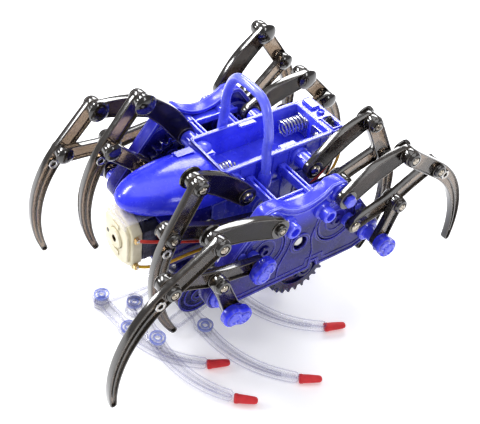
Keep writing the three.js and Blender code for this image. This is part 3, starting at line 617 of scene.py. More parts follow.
def make_leg(corner, row):
    """The four links of one leg. Returns the place of the crank pin, for the crank gear."""
    side, forward = sides_of(corner)
    links, claws = (OUTER_LINKS, OUTER_CLAWS) if row == "outer" else (INNER_LINKS, INNER_CLAWS)

    def pivot(joint):
        at = joint_at(joint)
        return Vector((forward * at.y, at.z))

    def seen(point):
        """A point of the leg's own plane, as the chassis frame's Y and Z."""
        return forward * point[0], point[1]

    def outline(line, widths, less=0.0, round_steps=9):
        return [seen(point) for point in ribbon(line, widths, less, round_steps)]

    def layer(span, share):
        """The two faces of a layer that takes a share of a link's thickness."""
        middle, half = (span[0] + span[1]) / 2, (span[1] - span[0]) / 2 * share
        return side * (middle - half), side * (middle + half)

    def link(part, line, widths, span, bosses, moulding=OPEN_LINK):
        """Starts a link's piece: a raised rim, a thinner web and a ring round each pin."""
        rim, inset, share, edge, web_edge, web = moulding
        body = f"{corner}_{row}_{part}"
        piece = Piece(body + "_moulding", body, "smoke_plastic", (body,))
        loops = [outline(line, widths), outline(line, widths, rim)]
        piece.put(plate(loops, *layer(span, 1.0), bevel=edge))
        piece.put(plate([outline(line, widths, inset)], *layer(span, share), bevel=web_edge), web)
        for centre, radius in bosses:
            piece.put(ring(seen(centre), radius, PIN_HOLE, *layer(span, 1.06), 0.25, 28, 20))
        return piece

    def claw_pin(piece, centre, collar, end):
        """A pin that holds a claw: it has a collar outside and a domed end inside."""
        piece.put(disc(PIN, 4, (side * (links[1] - 0.5), *seen(centre)), (side, 0, 0), 18), CAP_METAL)
        joint_end(piece, seen(centre), claws[1], side, *collar)
        knob(piece, seen(centre), links[0], side, *end)

    parts = ("upper_rocker", "claw", "coupler", "lower_rocker")
    shoulder, top, knee, lower = (pivot(f"{corner}_{row}_{part}_pivot") for part in parts)
    crank = pivot(f"{corner}_crank_spin")
    # The elbow is on the side where the coupler's end lands on the crank pin's circle.
    choices = []
    for sign in (-1, 1):
        elbow = meet(lower, LOWER_ROCKER, knee, ELBOW_TO_KNEE, sign)
        reach = math.atan2(knee.y - elbow.y, knee.x - elbow.x) - COUPLER_BEND
        pin = elbow - CRANK_TO_ELBOW * Vector((math.cos(reach), math.sin(reach)))
        choices.append((abs((pin - crank).length - CRANK_RADIUS), elbow, pin))
    _, elbow, pin = min(choices, key=lambda choice: choice[0])

    # Upper rocker: a bowed channel, closed by a dark panel.
    place = local_line(shoulder, top)
    bow = [place(0, 0), place(7, 1), place(15, 1.6), place(23, 1), place(30, 0)]
    line, widths = smooth(bow, [4.2, 4.6, 4.6, 4.2, 3.6])
    piece = link("upper_rocker", line, widths, links, [(shoulder, 4.0), (top, 3.5)], PANEL_LINK)
    claw_pin(piece, top, (3.2, 1.9), (4.7, 2.1))
    piece.done()

    # Claw: it tapers along its arc, and has a fine spine and a lug past the knee.
    place = local_line(top, knee)
    line = [place(a, -b) for a, b in bent_line(1, 26)]
    widths = [3.6] * 8 + [3.6 - 2.2 * (k / 26) ** 1.3 for k in range(27)]
    piece = link("claw", line, widths, claws, [(top, 3.5), (knee, 3.3)])
    spine = outline(line[10:-2], 0.32, round_steps=4)
    piece.put(plate([spine], *layer(claws, 0.8), bevel=0.15))
    piece.put(ring(seen(line[11]), 2.2, 1.1, *layer(claws, 1.3), 0.3, 8, 8), CAP_METAL, STEEL)
    piece.done()

    # Coupler: from the knee through the elbow to the crank pin, whose tip it carries.
    points = [tuple(point) for point in (knee, (knee + elbow) / 2, elbow, (elbow + pin) / 2, pin)]
    line, widths = smooth(points, [3.6, 3.3, 3.4, 3.1, 3.2])
    piece = link("coupler", line, widths, links, [(knee, 3.5), (elbow, 3.4), (pin, 3.1)])
    claw_pin(piece, knee, (3.0, 1.7), (3.7,))
    knob(piece, seen(elbow), links[0], side, 3.6)
    at_pin = seen(pin)
    if row == "outer":
        piece.put(barrel(side, links[0], links[1] + 0.3, at_pin, PIN), SHADED_GEAR_BLUE)
        if corner == "left_front":
            wing_cap(piece, at_pin, links[1] + 0.2, side, 0.9, 1.7)
        else:
            piece.put(cap(at_pin, links[1] + 0.15, side, 2.2, 1.0), CAP_METAL)
    else:
        piece.put(barrel(side, links[1], links[0] - 0.3, at_pin, PIN), SHADED_GEAR_BLUE)
        piece.put(cap(at_pin, 0.1 - links[0], -side, 2.1, 1.0), CAP_METAL)
    piece.done()

    # Lower rocker: a short link from the frame's corner to the elbow.
    points = [tuple(point) for point in (lower, (lower + elbow) / 2, elbow)]
    line, widths = smooth(points, [3.6, 3.2, 3.3])
    piece = link("lower_rocker", line, widths, claws, [(lower, 3.5), (elbow, 3.3)])
    piece.put(disc(2.2, 0.6, (side * (claws[1] - 0.3), *seen(elbow)), (side, 0, 0), 20), CAP_METAL)
    joint_end(piece, seen(elbow), claws[1], side, 3.1, 2.1)
    piece.done()
    return at_pin


CRANK_PINS = {(corner, row): make_leg(corner, row) for corner in CORNERS for row in ("outer", "inner")}


# ---- gears --------------------------------------------------------------------------------


def gear_loop(y, z, teeth, radius, tooth):
    """Rounded teeth round a pitch circle, with one tooth's middle at the angle."""
    module = 2 * radius / teeth
    tip, valley = radius + 0.85 * module, radius - 1.1 * module
    flank = [(0.07, tip), (0.13, tip - 0.25), (0.28, valley + 0.2), (0.36, valley)]
    shares = [(-share, r) for share, r in reversed(flank)] + flank
    loop = []
    for k in range(teeth):
        for share, r in shares:
            t = tooth + (k + share) * 2 * math.pi / teeth
            loop.append((y + r * math.cos(t), z + r * math.sin(t)))
    return loop


def gear_part(piece, centre, teeth, radius, tooth, low, high, material, hub=3.6):
    """A toothed rim on a thin web, with a raised hub and six dimples."""
    y, z = centre.y, centre.z
    rim, dimples, middle = radius * 0.72, radius * 0.52, (low + high) / 2
    web = [circle(y, z, rim + 0.3, 36)]
    for t in (0.5 + 1.05 * k for k in range(6)):
        web.append(circle(y + dimples * math.cos(t), z + dimples * math.sin(t), 1.0, 14))
    teeth_and_rim = [gear_loop(y, z, teeth, radius, tooth), circle(y, z, rim, 36)]
    piece.put(plate(teeth_and_rim, low, high, bevel=0.22), material)
    piece.put(plate(web, middle - 0.8, middle + 0.8, bevel=0.15), material)
    piece.put(plate([circle(y, z, hub)], low, high), material)


def gear_pair(piece, centre, teeth, tooth, sides=(-1, 1)):
    """The gears of one axle in the blue train, which all have the same size of tooth."""
    for side in sides:
        low, high = side * GEARS[0], side * GEARS[1]
        gear_part(piece, centre, teeth, RADIUS_PER_TOOTH * teeth, tooth, low, high, SHADED_GEAR_BLUE)


def meshing_angle(centre, teeth, neighbour, neighbour_teeth, neighbour_tooth):
    """The angle of a tooth that falls into a gap of the neighbour's."""
    line = math.atan2(centre.z - neighbour.z, centre.y - neighbour.y)
    share = (line - neighbour_tooth) / (2 * math.pi / neighbour_teeth)
    return line + math.pi + (share - 0.5) * 2 * math.pi / teeth


AXLE = joint_at("main_axle_spin")
CRANK_TEETH = 16
# The crank gears and the idlers on the axle are alike, and touch on their pitch circles.
RADIUS_PER_TOOTH = (joint_at("left_rear_crank_spin") - AXLE).yz.length / 2 / CRANK_TEETH

for corner in CORNERS:
    side, _ = sides_of(corner)
    name = f"{corner}_crank"
    axis = joint_at(name + "_spin")
    centre = (axis.y, axis.z)
    piece = Piece(name + "_gear", name, "gear_blue", (name,))
    gear_pair(piece, axis, CRANK_TEETH, meshing_angle(axis, CRANK_TEETH, AXLE, CRANK_TEETH, 0), (side,))
    inboard, outboard = CRANK_DISC
    piece.put(barrel(side, GEARS[1] - 0.5, inboard + 0.7, centre, 2.4))
    piece.put(barrel(side, inboard, outboard - 0.3, centre, 9.25, 0.35, segments=48), FRAME_BLUE)
    for radius, hole in ((9.2, 8.3), (5.4, 4.6)):
        low, high = side * (inboard + 1), side * outboard
        piece.put(ring(centre, radius, hole, low, high, 0.25, 48, 48), FRAME_BLUE)
    piece.put(barrel(side, outboard - 1, outboard + 0.7, centre, 2.6, 0.4, 1.2), FRAME_BLUE)
    outer_pin, inner_pin = CRANK_PINS[corner, "outer"], CRANK_PINS[corner, "inner"]
    piece.put(barrel(side, outboard - 1, OUTER_LINKS[0] - GAP, outer_pin, 2.9, 0.4), BLUE)
    piece.put(barrel(side, GEARS[0] + 0.4, INNER_LINKS[1] + GAP, inner_pin, PIN))
    piece.done()

piece = Piece("main_axle_gears", "main_axle", "white_plastic", ("main_axle",))
piece.put(barrel(1, -MAIN_AXLE_END, MAIN_AXLE_END, AXLE.yz, 2.3, 0.5))
gear_pair(piece, AXLE, CRANK_TEETH, 0)
gear_part(piece, AXLE, 24, 7.4, 0, 3.2, 5.6, WHITE, hub=3.2)
piece.done()

FRONT_CRANK = joint_at("left_front_crank_spin")
front_tooth = meshing_angle(FRONT_CRANK, CRANK_TEETH, AXLE, CRANK_TEETH, 0)
LOWER_AXLES = {name: joint_at(name + "_spin") for name in ("lower_rear_gears", "lower_front_gears")}
for (name, centre), teeth, neighbour, tooth in zip(
    LOWER_AXLES.items(), (26, 18), (AXLE, FRONT_CRANK), (0, front_tooth)
):
    piece = Piece(name + "_pair", name, "gear_blue", (name,))
    piece.put(barrel(1, -LOWER_AXLE_END, LOWER_AXLE_END, centre.yz, 2.0, 0.4))
    gear_pair(piece, centre, teeth, meshing_angle(centre, teeth, neighbour, CRANK_TEETH, tooth))
    piece.done()

# ---- motor --------------------------------------------------------------------------------

SHAFT = joint_at("motor_pinion_shaft_spin")


def motor_loop(radius, half_width):
    """The motor's outline: round, with two flat sides."""
    flat = math.acos(half_width / radius)
    loop = arc(0, SHAFT.z, radius, flat, math.pi - flat, 14)
    return loop + [(-a, 2 * SHAFT.z - b) for a, b in loop]


def on_bell(x, back, up):
    """A place on the end bell, as far behind its face and above the shaft as given."""
    return x, bell_face + back, SHAFT.z + up


bell_face, bell_back = (corner.y for corner in node_box("motor_end_bell"))
piece = Piece("motor_end_bell_moulding", "chassis", "cream_plastic", ("motor_end_bell",))
shaft_hole = circle(0, SHAFT.z, 4.4)
piece.put(plate([motor_loop(12.2, 9.9), shaft_hole], bell_face + 2.2, bell_back, ALONG_Y, 0.7, 3))
piece.put(plate([motor_loop(10.6, 8.4), shaft_hole], bell_face + 0.9, bell_face + 3, ALONG_Y, 0.5, 3))
bearing = [(0, 1.5), (0, 3.9), (0.5, 4.3), (3.5, 4.3), (3.5, 1.5)]
piece.put(turned(bearing, on_bell(0, 0, 0), (0, 1, 0)))
piece.put(turned([(0, 0), (0, 2.3), (0.4, 2.5), (0.4, 0)], on_bell(0, 0.9, 0), (0, 1, 0)), BRASS)
piece.put(disc(0.9, 0.6, on_bell(-6.2, 0.8, -1), (0, 1, 0), 16), BLACK)
for up in (6.4, -6.4):
    z = SHAFT.z + up
    piece.put(box(-2.6, 2.6, bell_face + 0.5, bell_face + 2, z - 1.4, z + 1.4))
for up in (5.4, -8):
    z = SHAFT.z + up
    piece.put(box(9.0, 11.4, bell_face + 2.8, bell_face + 4.6, z - 1.2, z + 1.2, 0.2), BRASS)
    piece.put(box(6.0, 9.8, bell_face + 2.6, bell_face + 5.4, z - 1.9, z + 1.9, 0.3))
piece.done()

can_face, can_back = (corner.y for corner in node_box("motor_can"))
piece = Piece("motor_can_drawn_steel", "chassis", "steel", ("motor_can",))
can = [motor_loop(11.6, 9.4), circle(0, SHAFT.z, 1.4, 16)]
# The can is drawn in the shaded steel: painted shade.
piece.put(plate(can, can_face, can_back, ALONG_Y, 0.9, 3), STEEL_IN_SHADE)
for y in (can_face + 1.6, can_face + 3.2):
    piece.put(plate([motor_loop(11.75, 9.5), motor_loop(11, 9)], y, y + 0.5, ALONG_Y, 0.15), STEEL_IN_SHADE)
piece.done()

piece = Piece("motor_shaft_and_pinion", "motor_pinion_shaft", "steel", ("motor_pinion_shaft",))
shaft = [(0, 0), (0, 0.8), (0.3, 1), (54, 1), (54.3, 0.8), (54.3, 0)]
piece.put(turned(shaft, (0, -59.3, SHAFT.z), (0, 1, 0), 18))
piece.put(plate([gear_loop(0, SHAFT.z, 8, 2.2, 0)], -9.6, -5.4, ALONG_Y, 0.2), BRASS)
piece.done()

# ---- chassis ------------------------------------------------------------------------------

HALF, WALL = 11.7, 1.1
TOP, BOTTOM = 5.8, -8.4
FRONT, REAR, DECK_END = -20.6, 33.3, 41
UP = (0, 0, 1)


def tray_loop(grow, ends, radius):
    """The tray's outline, grown sideways and at its ends."""
    return rectangle(-HALF - grow, HALF + grow, FRONT - ends, REAR + ends, radius)


piece = Piece("battery_tray_moulding", "chassis", "blue_plastic", ("battery_tray",))
piece.put(upright([tray_loop(0, 0, 1.4), tray_loop(-WALL, -WALL, 0.9)], BOTTOM, TOP))
piece.put(upright([tray_loop(-0.4, -0.4, 1)], BOTTOM, BOTTOM + 1.7))
lip_out = rectangle(-HALF - 0.7, HALF + 0.7, FRONT, REAR + 0.4, 1.6)
lip_in = rectangle(-HALF + 0.8, HALF - 0.8, FRONT + 0.9, REAR - 0.7, 1)
piece.put(upright([lip_out, lip_in], TOP - 1.5, TOP, 0.35))
slot = rectangle(3.4, 10.6, REAR + 1.6, REAR + 5.4, 0.4)
piece.put(upright([rectangle(-12.4, 12.4, REAR - 0.5, DECK_END, 1.8), slot], 3.2, TOP, 0.45))
slot_rim = rectangle(2.6, 11.4, REAR + 0.9, REAR + 6.1)
piece.put(upright([slot_rim, slot], TOP - 0.3, TOP + 0.6, 0.25))
# The rib between the cells, the deck's block, the front corner block and two side ledges.
for x0, x1, y0, y1, z0, z1, edge in (
    (-0.45, 0.45, FRONT + 1, REAR - 1, BOTTOM + 1.4, BOTTOM + 3.2, 0.15),
    (-10.4, -3.2, REAR + 1.4, REAR + 6.2, TOP - 0.4, TOP + 1.3, 0.6),
    (-HALF + 0.5, -1, FRONT + 0.5, FRONT + 6, BOTTOM + 1, TOP - 1.6, 0.8),
    (-HALF + 0.5, -HALF + 3.4, 2, 10, TOP - 1.4, TOP - 0.2, 0.35),
    (HALF - 3.4, HALF - 0.5, 8, 16, TOP - 1.4, TOP - 0.2, 0.35),
):
    piece.put(box(x0, x1, y0, y1, z0, z1, edge))
stop = [(0, 0), (0, 1.7), (1.2, 1.6), (1.3, 1.2), (0.7, 1.1), (0.7, 0)]
piece.put(turned(stop, (-0.4, REAR + 3.8, TOP - 0.1), UP, 20))
dome = [(0, 3.4), (1.0, 3.2), (1.8, 2.3), (2.2, 0)]
piece.put(turned(dome, (-6.2, FRONT + 3.2, TOP - 2), UP))
for side in (-1, 1):
    for y in range(-12, 29, 8):
        low, high = side * (HALF - 0.1), side * (HALF + 0.5)
        piece.put(box(low, high, y - 0.5, y + 0.5, BOTTOM + 0.5, TOP - 1.4, 0.2))
    for y in (-UPPER_PIVOT[0], UPPER_PIVOT[0]):
        piece.put(barrel(side, HALF - 0.3, INNER_LINKS[0] - GAP, (y, 0), 3.2, 0.35))
        piece.put(barrel(side, HALF - 0.3, HALF + 2, (y, 0), 4.1, 0.6))
        piece.put(barrel(side, 18, INNER_LINKS[1] + 0.2, (y, 0), PIN))
        piece.put(cap((y, 0), INNER_LINKS[1] + 0.1, side, 2.3, 1.1), CAP_METAL)
        for rib_y, rib_z in arc(y, 0, 3.4, math.pi / 4, math.pi * 7 / 4, 3):
            low, high = side * (HALF + 0.2), side * 16.6
            ribs = (low, high, rib_y - 0.35, rib_y + 0.35, rib_z - 0.35, rib_z + 0.35)
            piece.put(box(*ribs, 0.1))
piece.done()


def coil(x, y0, y1, z, radius, turns, grow=0.3):
    """A spring along Y that widens a little."""
    count = int(turns * 22)
    line = []
    for k in range(count + 1):
        share = k / count
        t, wide = 2 * math.pi * turns * share, radius + grow * share
        line.append((x + wide * math.cos(t), y0 + (y1 - y0) * share, z + wide * math.sin(t)))
    return line


BAY = 5.3
CELL_Z = BOTTOM + 7.2
piece = Piece("battery_springs_and_contacts", "chassis", "steel")
piece.put(tube(coil(BAY, FRONT + 1.6, FRONT + 9.2, CELL_Z + 1.4, 2.7, 5.2), 0.42, 8))
piece.put(tube(coil(-BAY, REAR - 1.8, REAR - 12.4, CELL_Z + 1.2, 3.0, 6.4), 0.46, 8))
for x, y in ((BAY, FRONT + WALL), (-BAY, REAR - WALL - 0.5), (BAY, REAR - WALL - 0.5)):
    contact = rectangle(x - 4.2, x + 4.2, CELL_Z - 4.6, CELL_Z + 4, 0.7)
    piece.put(plate([contact], y, y + 0.5, ALONG_Y, 0.12))
button = [(0, 2.2), (0.7, 2.1), (1.3, 1.2), (1.5, 0)]
piece.put(turned(button, (BAY, REAR - WALL - 0.4, CELL_Z), (0, -1, 0), 20))
piece.put(turned(button, (-BAY, FRONT + 6, CELL_Z), (0, 1, 0), 20), BRASS)
piece.put(box(2.2, 3.2, REAR + 0.4, REAR + 6.6, TOP + 0.1, TOP + 0.5, 0.1), BRASS)
piece.done()

low, high = node_box("switch_slider")
knob_y = (low.y + 0.5, high.y - 0.5)
piece = Piece("switch_knob", "switch_slider", "black_plastic", ("switch_slider",))
piece.put(box(low.x + 0.02, high.x, low.y, high.y, low.z, 6.2, 0.3))
piece.put(box(low.x + 0.6, high.x - 0.6, *knob_y, 6.0, high.z, 0.4))
for x in (low.x + 0.9 + 0.62 * k for k in range(3)):
    piece.put(box(x, x + 0.3, *knob_y, high.z - 0.2, high.z + 0.25, 0.08))
piece.done()


def nose():
    """A domed shell: the top front part of a long tilted ellipsoid."""
    made = bmesh.new()
    bmesh.ops.create_uvsphere(made, u_segments=72, v_segments=44, radius=1)
    tilt = Matrix.Rotation(math.radians(-7), 4, "X")
    made.transform(Matrix.Translation((0, -22.5, -5.4)) @ tilt @ Matrix.Diagonal((15, 37.5, 10, 1)))
    for point, normal in (((0, 0, -5.6), (0, 0, -1)), ((0, FRONT - 0.3, 0), (0, 1, 0))):
        geometry = list(made.verts) + list(made.edges) + list(made.faces)
        bmesh.ops.bisect_plane(made, geom=geometry, plane_co=point, plane_no=normal, clear_outer=True)
    bmesh.ops.recalc_face_normals(made, faces=made.faces)
    bmesh.ops.solidify(made, geom=list(made.faces), thickness=1.4)
    return face_outward(made)


piece = Piece("nose_shell", "chassis", "blue_plastic", ("nose_canopy",))
piece.put(nose(), NOSE_BLUE)
piece.put(box(-9.4, -3.6, -31.5, FRONT - 0.9, 0.6, 5.2, 1.2), NOSE_BLUE)
piece.done(50)

HANDLE_X, HANDLE_Y = 15.2, -2.5
handle = [(HANDLE_X, -5), (HANDLE_X, 3), (14, 12), (14.2, 18), (12, 26), (8.8, 30.6), (4.2, 32)]
path = [(-x, HANDLE_Y, z) for x, z in handle] + [(x, HANDLE_Y, z) for x, z in reversed(handle)]
piece = Piece("handle_bar", "chassis", "blue_plastic", ("carry_handle",))
piece.put(tube(catmull(path, 7), 1.95, 20), HANDLE_BLUE)
foot = [(0, 0), (0, 2.5), (0.6, 2.8), (5, 2.7), (6.4, 2.1), (6.4, 0)]
for side in (-1, 1):
    piece.put(turned(foot, (side * HANDLE_X, HANDLE_Y, -5.1), UP))
    low, high = side * (HANDLE_X - 3.1), side * HANDLE_X
    piece.put(box(low, high, HANDLE_Y - 1.6, HANDLE_Y + 1.6, -5, -1.4, 0.5))
piece.done(50)

# Gearbox case with its posts.
W, CASE_TOP, CASE_BOTTOM = 12.5, -8.8, -31
CASE_FRONT, CASE_REAR, CASE_WALL = -24.5, 30, 1.6
FRONT_BOTTOM = AXLE_HEIGHT - 14
HUB = (0, AXLE_HEIGHT)
BASE_TOP = node_box("clear_leg_1")[1].z + 2.5
POSTS = (-8, 18)
piece = Piece("gearbox_case_moulding", "chassis", "blue_plastic", ("gearbox_case",))
front = rectangle(-W, W, FRONT_BOTTOM, CASE_TOP - 0.4, 1.2)
mouth = rectangle(-W + CASE_WALL, W - CASE_WALL, FRONT_BOTTOM + CASE_WALL, CASE_TOP - 2, 1)
# The case's front is drawn in the dark frame blue: painted shade behind the motor's end bell.
piece.put(plate([front, mouth], -46.5, CASE_FRONT + 0.1, ALONG_Y, 0.35), FRAME_BLUE)
piece.put(plate([front, circle(*HUB, 1.7, 18)], -25.8, -24.2, ALONG_Y))
flank = [rectangle(CASE_FRONT, CASE_REAR, CASE_BOTTOM, CASE_TOP, 1.2), circle(*HUB, 2.8, 24)]
for side in (-1, 1):
    piece.put(plate(flank, side * (W - CASE_WALL), side * W, bevel=0.35))
    for y in (-18, -11, 9, 16, 23):
        low, high = side * (W - 0.1), side * (W + 0.5)
        piece.put(box(low, high, y - 0.6, y + 0.6, CASE_BOTTOM + 1, CASE_TOP - 1, 0.2))
    piece.put(ring(HUB, 5, 2.8, side * (W - 0.2), side * (W + 0.9)))
# The rear wall, the roof and a wall inside.
for inset, y0, y1, z0, z1, edge in (
    (0.2, CASE_REAR - 1.8, CASE_REAR, CASE_BOTTOM, CASE_TOP, 0.4),
    (0.2, CASE_FRONT, CASE_REAR, CASE_TOP - 1.6, CASE_TOP - 0.05, 0.4),
    (0.3, 17.1, 18.9, CASE_BOTTOM, CASE_TOP - 1, 0.3),
):
    piece.put(box(-W + inset, W - inset, y0, y1, z0, z1, edge))
for y in POSTS:
    low, high = BASE_TOP + GAP, CASE_BOTTOM + 3
    for x in (-8.2, 8.2):
        piece.put(box(x - 4.1, x + 4.1, y - 0.9, y + 0.9, low, high, 0.3))
        for edge in (x - 3.7, x + 3.7):
            piece.put(box(edge - 0.4, edge + 0.4, y - 2.1, y + 2.1, low, high, 0.25))
        piece.put(box(x - 4.1, x + 4.1, y - 2.1, y + 2.1, low, BASE_TOP + 1.6, 0.3))
    piece.put(box(-W + 0.4, W - 0.4, y - 2.1, y + 2.1, CASE_BOTTOM - 5.6, CASE_BOTTOM + 2.6, 0.5))
# The gear housing under the motor: a drum with stepped rims, bridged to the front posts.
drum = (-27.5, -57.2)
# The drum is painted near-black as shade, with paler painted highlights on its rims.
piece.put(barrel(1, -5, 11.6, drum, 9.3, 0.6, segments=44), SHADED_GEAR_BLUE)
for low, high, radius, hole in (
    (10.6, 12.1, 9.4, 8.4),
    (11, 12.0, 6.6, 5.8),
    (11, 12.3, 3.2, 1.4),
    (2, 3.2, 9.5, 8),
    (-5, -3.8, 9.5, 8),
):
    piece.put(ring(drum, radius, hole, low, high, 0.3, 40, 40), SHADED_GEAR_BLUE, FRAME_EDGE_HIGHLIGHT)
piece.put(box(5, 12, -27.5, -8, -62.8, -53.2, 0.7), SHADED_GEAR_BLUE)
for z in (-61, -58, -55):
    piece.put(box(11.8, 12.3, -19, -10.4, z - 0.35, z + 0.35, 0.12), SHADED_GEAR_BLUE, FRAME_EDGE_HIGHLIGHT)
piece.done()

# ---- side frames --------------------------------------------------------------------------

KEEL, TUBE, SHELF_HALF, STRUT_Y = -36.6, (8.6, -5.2), 15, 8


def frame_loop(inset=0.0):
    """The frame's outline: a saddle, a corner at each lower pivot and a notched keel."""
    (top_y, top_z), (low_y, low_z) = UPPER_PIVOT, LOWER_PIVOT
    lobe, corner, keel = 5 - inset, 6 - inset, KEEL + inset
    slope = math.pi / 2 - math.atan2(top_z - low_z, low_y - top_y)
    half = arc(low_y, low_z, corner, -math.pi / 2, slope) + arc(top_y, top_z, lobe, slope, math.pi / 2)
    half += [(top_y - 4, lobe)]
    saddle = []
    for k in range(1, 12):
        t = k / 12
        dip = 2 * t * (1 - t)
        saddle.append(((top_y - 4) * (1 - 2 * t), (1 - dip) * lobe - dip * (5 + inset)))
    notch = [(7.4 - inset, keel), (8.3 - inset, keel + 3.2), (10.4 + inset, keel + 3.2), (11.3 + inset, keel)]
    return half + saddle + [(-a, b) for a, b in reversed(half)] + [(-30, keel)] + notch + [(30, keel)]


def side_frame(name, side):
    piece = Piece(name + "_moulding", "chassis", "blue_plastic", (name,))
    inboard, outboard = SIDE_PLATE
    cups = [(end * CRANK_CENTRE[0], CRANK_CENTRE[1]) for end in (-1, 1)]
    holes = [circle(*cup, 9.7, 48) for cup in cups] + [circle(*HUB, 3.2, 30)]
    # The tray: its skin, its wall all round, and two raised rims on the skin.
    for loops, low, high, edge in (
        ([frame_loop(0.1), *holes], 36.3, 37.8, 0.3),
        ([frame_loop(), frame_loop(1.8)], inboard, 37.5, 0.35),
        ([frame_loop(), frame_loop(1.1)], 37, outboard, 0.3),
        ([frame_loop(2.6), frame_loop(3.3)], 37, 38.1, 0.2),
    ):
        piece.put(plate(loops, side * low, side * high, bevel=edge), FRAME_BLUE)
    # The crank recesses and the axle's hub.
    for centre, radius, hole, low, high, edge, sides, hole_sides in (
        *((cup, 11.1, 9.7, 34.2, outboard, 0.4, 48, 48) for cup in cups),
        *((cup, 10.4, 2.8, 34, 35.2, 0.2, 48, 24) for cup in cups),
        (HUB, 4.9, 3.2, 36, outboard + 0.2, 0.45, 34, 30),
        (HUB, 4.4, 2.7, inboard, 34.6, 0.2, 30, 24),
    ):
        piece.put(ring(centre, radius, hole, side * low, side * high, edge, sides, hole_sides), FRAME_BLUE)
    for curl in (
        [(13.6, -3.6), (8.2, -11.4), (5.9, -19), (7.4, -26.5), (6.8, -33)],
        [(-8.6, -8.8), (-4.6, -11.8), (-5.4, -19), (-9, -26.8), (-9.6, -33)],
    ):
        rib = ribbon(*smooth(curl, [0.35] * 5), round_steps=4)
        piece.put(plate([rib], side * 37.4, side * 38.2, bevel=0.2), FRAME_BLUE)
    # A shelf along the top joins the frame to the cross struts.
    for low, high, z0, z1 in ((27.7, inboard + 0.8, -3.8, -2.2), (27.6, 28.7, -3.9, -1.2)):
        piece.put(box(side * low, side * high, -SHELF_HALF, SHELF_HALF, z0, z1, 0.3))
    for end in (-1, 1):
        upper, lower = (end * UPPER_PIVOT[0], UPPER_PIVOT[1]), (end * LOWER_PIVOT[0], LOWER_PIVOT[1])
        post, shelf_post, stud_at = (end * TUBE[0], TUBE[1]), (end * TUBE[0], -2.6), (end * 28.6, -12.4)
        for centre, low, high, radius, edge in (
            (upper, outboard - 1, OUTER_LINKS[0] - GAP, 3.2, 0.35),
            (upper, outboard - 1, outboard + 1.2, 4.5, 0.5),
            (upper, 39, OUTER_LINKS[1] + 0.3, PIN, 0.25),
            (lower, outboard - 1, OUTER_CLAWS[0] - GAP, 3.2, 0.35),
            (lower, outboard - 1, outboard + 1.6, 4.8, 0.6),
            (lower, 42, OUTER_CLAWS[1] + 0.3, PIN, 0.25),
            (lower, inboard + 0.6, INNER_CLAWS[1] + GAP, 3.2, 0.35),
            (lower, inboard, INNER_CLAWS[0] + 0.1, PIN, 0.25),
            (post, outboard - 1, outboard + 1.6, 4.0, 0.7),
            (shelf_post, 27.8, outboard - 0.6, 2.5, 0.5),
            (stud_at, outboard - 0.6, outboard + 0.3, 1.7, 0.3),
        ):
            piece.put(barrel(side, low, high, centre, radius, edge))
        piece.put(barrel(side, outboard - 1, OUTER_LINKS[1] - 0.1, post, 3.1, 0.4, 1.9))
        if end > 0:
            nut = [(0, 0), (0, 2.7), (1.3, 2.7), (1.8, 2.2), (1.8, 0)]
            piece.put(turned(nut, (side * (OUTER_LINKS[1] + 0.2), *upper), (side, 0, 0), 6))
        else:
            joint_end(piece, upper, OUTER_LINKS[1] + 0.2, side, 2.4, 1.4)
        tilt, depth = 2.3 if end > 0 else -0.37, 4.0 if side > 0 else 2.7
        wing_cap(piece, lower, OUTER_CLAWS[1] + 0.15, side, tilt, depth=depth)
        piece.put(cap(lower, 0.1 - INNER_CLAWS[0], -side, 2.2, 1.0), CAP_METAL)
        # A cross strut of two flanges and a web, and its foot on the tray: their span in X, place
        # and half-width in Y, and height.
        for low, high, offset, half, z0, z1, edge in (
            (HALF + 0.6, inboard + 0.4, -0.95, 0.42, -4.7, -0.5, 0.2),
            (HALF + 0.6, inboard + 0.4, 0.95, 0.42, -4.7, -0.5, 0.2),
            (HALF + 0.6, inboard + 0.4, 0, 1.0, -4.4, -3.4, 0.2),
            (HALF + 0.4, HALF + 3, 0, 1.7, -7.5, -0.6, 0.4),
        ):
            y = end * STRUT_Y + offset
            piece.put(box(side * low, side * high, y - half, y + half, z0, z1, edge))
    for axle in LOWER_AXLES.values():
        piece.put(ring(axle.yz, 3.8, 2.4, side * inboard, side * LOWER_AXLE_END, 0.3, 32, 20), SHADED_GEAR_BLUE)
    piece.put(box(side * inboard, side * LOWER_AXLE_END, 4.4, 8.1, -41, KEEL + 1, 0.3), SHADED_GEAR_BLUE)
    piece.done()


side_frame("left_side_frame", 1)
side_frame("right_side_frame", -1)

# ---- motor leads --------------------------------------------------------------------------

RED_ROUTE = [(11, -56.5, -13.5), (12.8, -53, -14), (13.8, -47, -16), (14, -38, -20), (14, -28, -24)]
RED_ROUTE += [(14, -14, -25.5), (14, 0, -25.5), (14, 14, -23), (14, 24, -17), (13.6, 31, -11.5)]
RED_ROUTE += [(12.4, 36, -6), (10, 38.5, -1), (8, 39.3, 2.2)]
YELLOW_ROUTE = [(10.8, -56.5, -27), (12.8, -52, -27.5), (14, -45, -28), (14, -36, -28), (14, -24, -28.5)]
YELLOW_ROUTE += [(14, -10, -28.8), (14, 4, -28.5), (14.2, 17, -26), (14.6, 27, -20), (14.6, 34, -13.5)]
YELLOW_ROUTE += [(13, 38.5, -7), (10, 40, -2), (5, 40, 2.2)]
SOLDER = [(-0.6, 0), (-0.6, 0.7), (0.5, 0.85), (1.0, 0.5), (1.1, 0)]
for name, route, material in (("red", RED_ROUTE, RED_WIRE), ("yellow", YELLOW_ROUTE, YELLOW_WIRE)):
    piece = Piece(f"{name}_lead_insulation", "chassis", f"{name}_wire", (f"motor_lead_{name}",))
    line = catmull(route, 5)
    piece.put(tube(line, 0.65, 12), material)
    for end, other in ((line[0], line[1]), (line[-1], line[-2])):
        piece.put(turned(SOLDER, end, (end - other).normalized(), 12), STEEL)
    piece.done()

# ---- clear legs, tips and base ------------------------------------------------------------

FLOOR = -73.6
CLEAR_THICKNESS = 3.6
SLOPE_ROOM = 1.7
BASE_BOTTOM = FLOOR + CLEAR_THICKNESS + 0.3
TIP_LENGTH, TIP_RADIUS = 9.5, 2.3
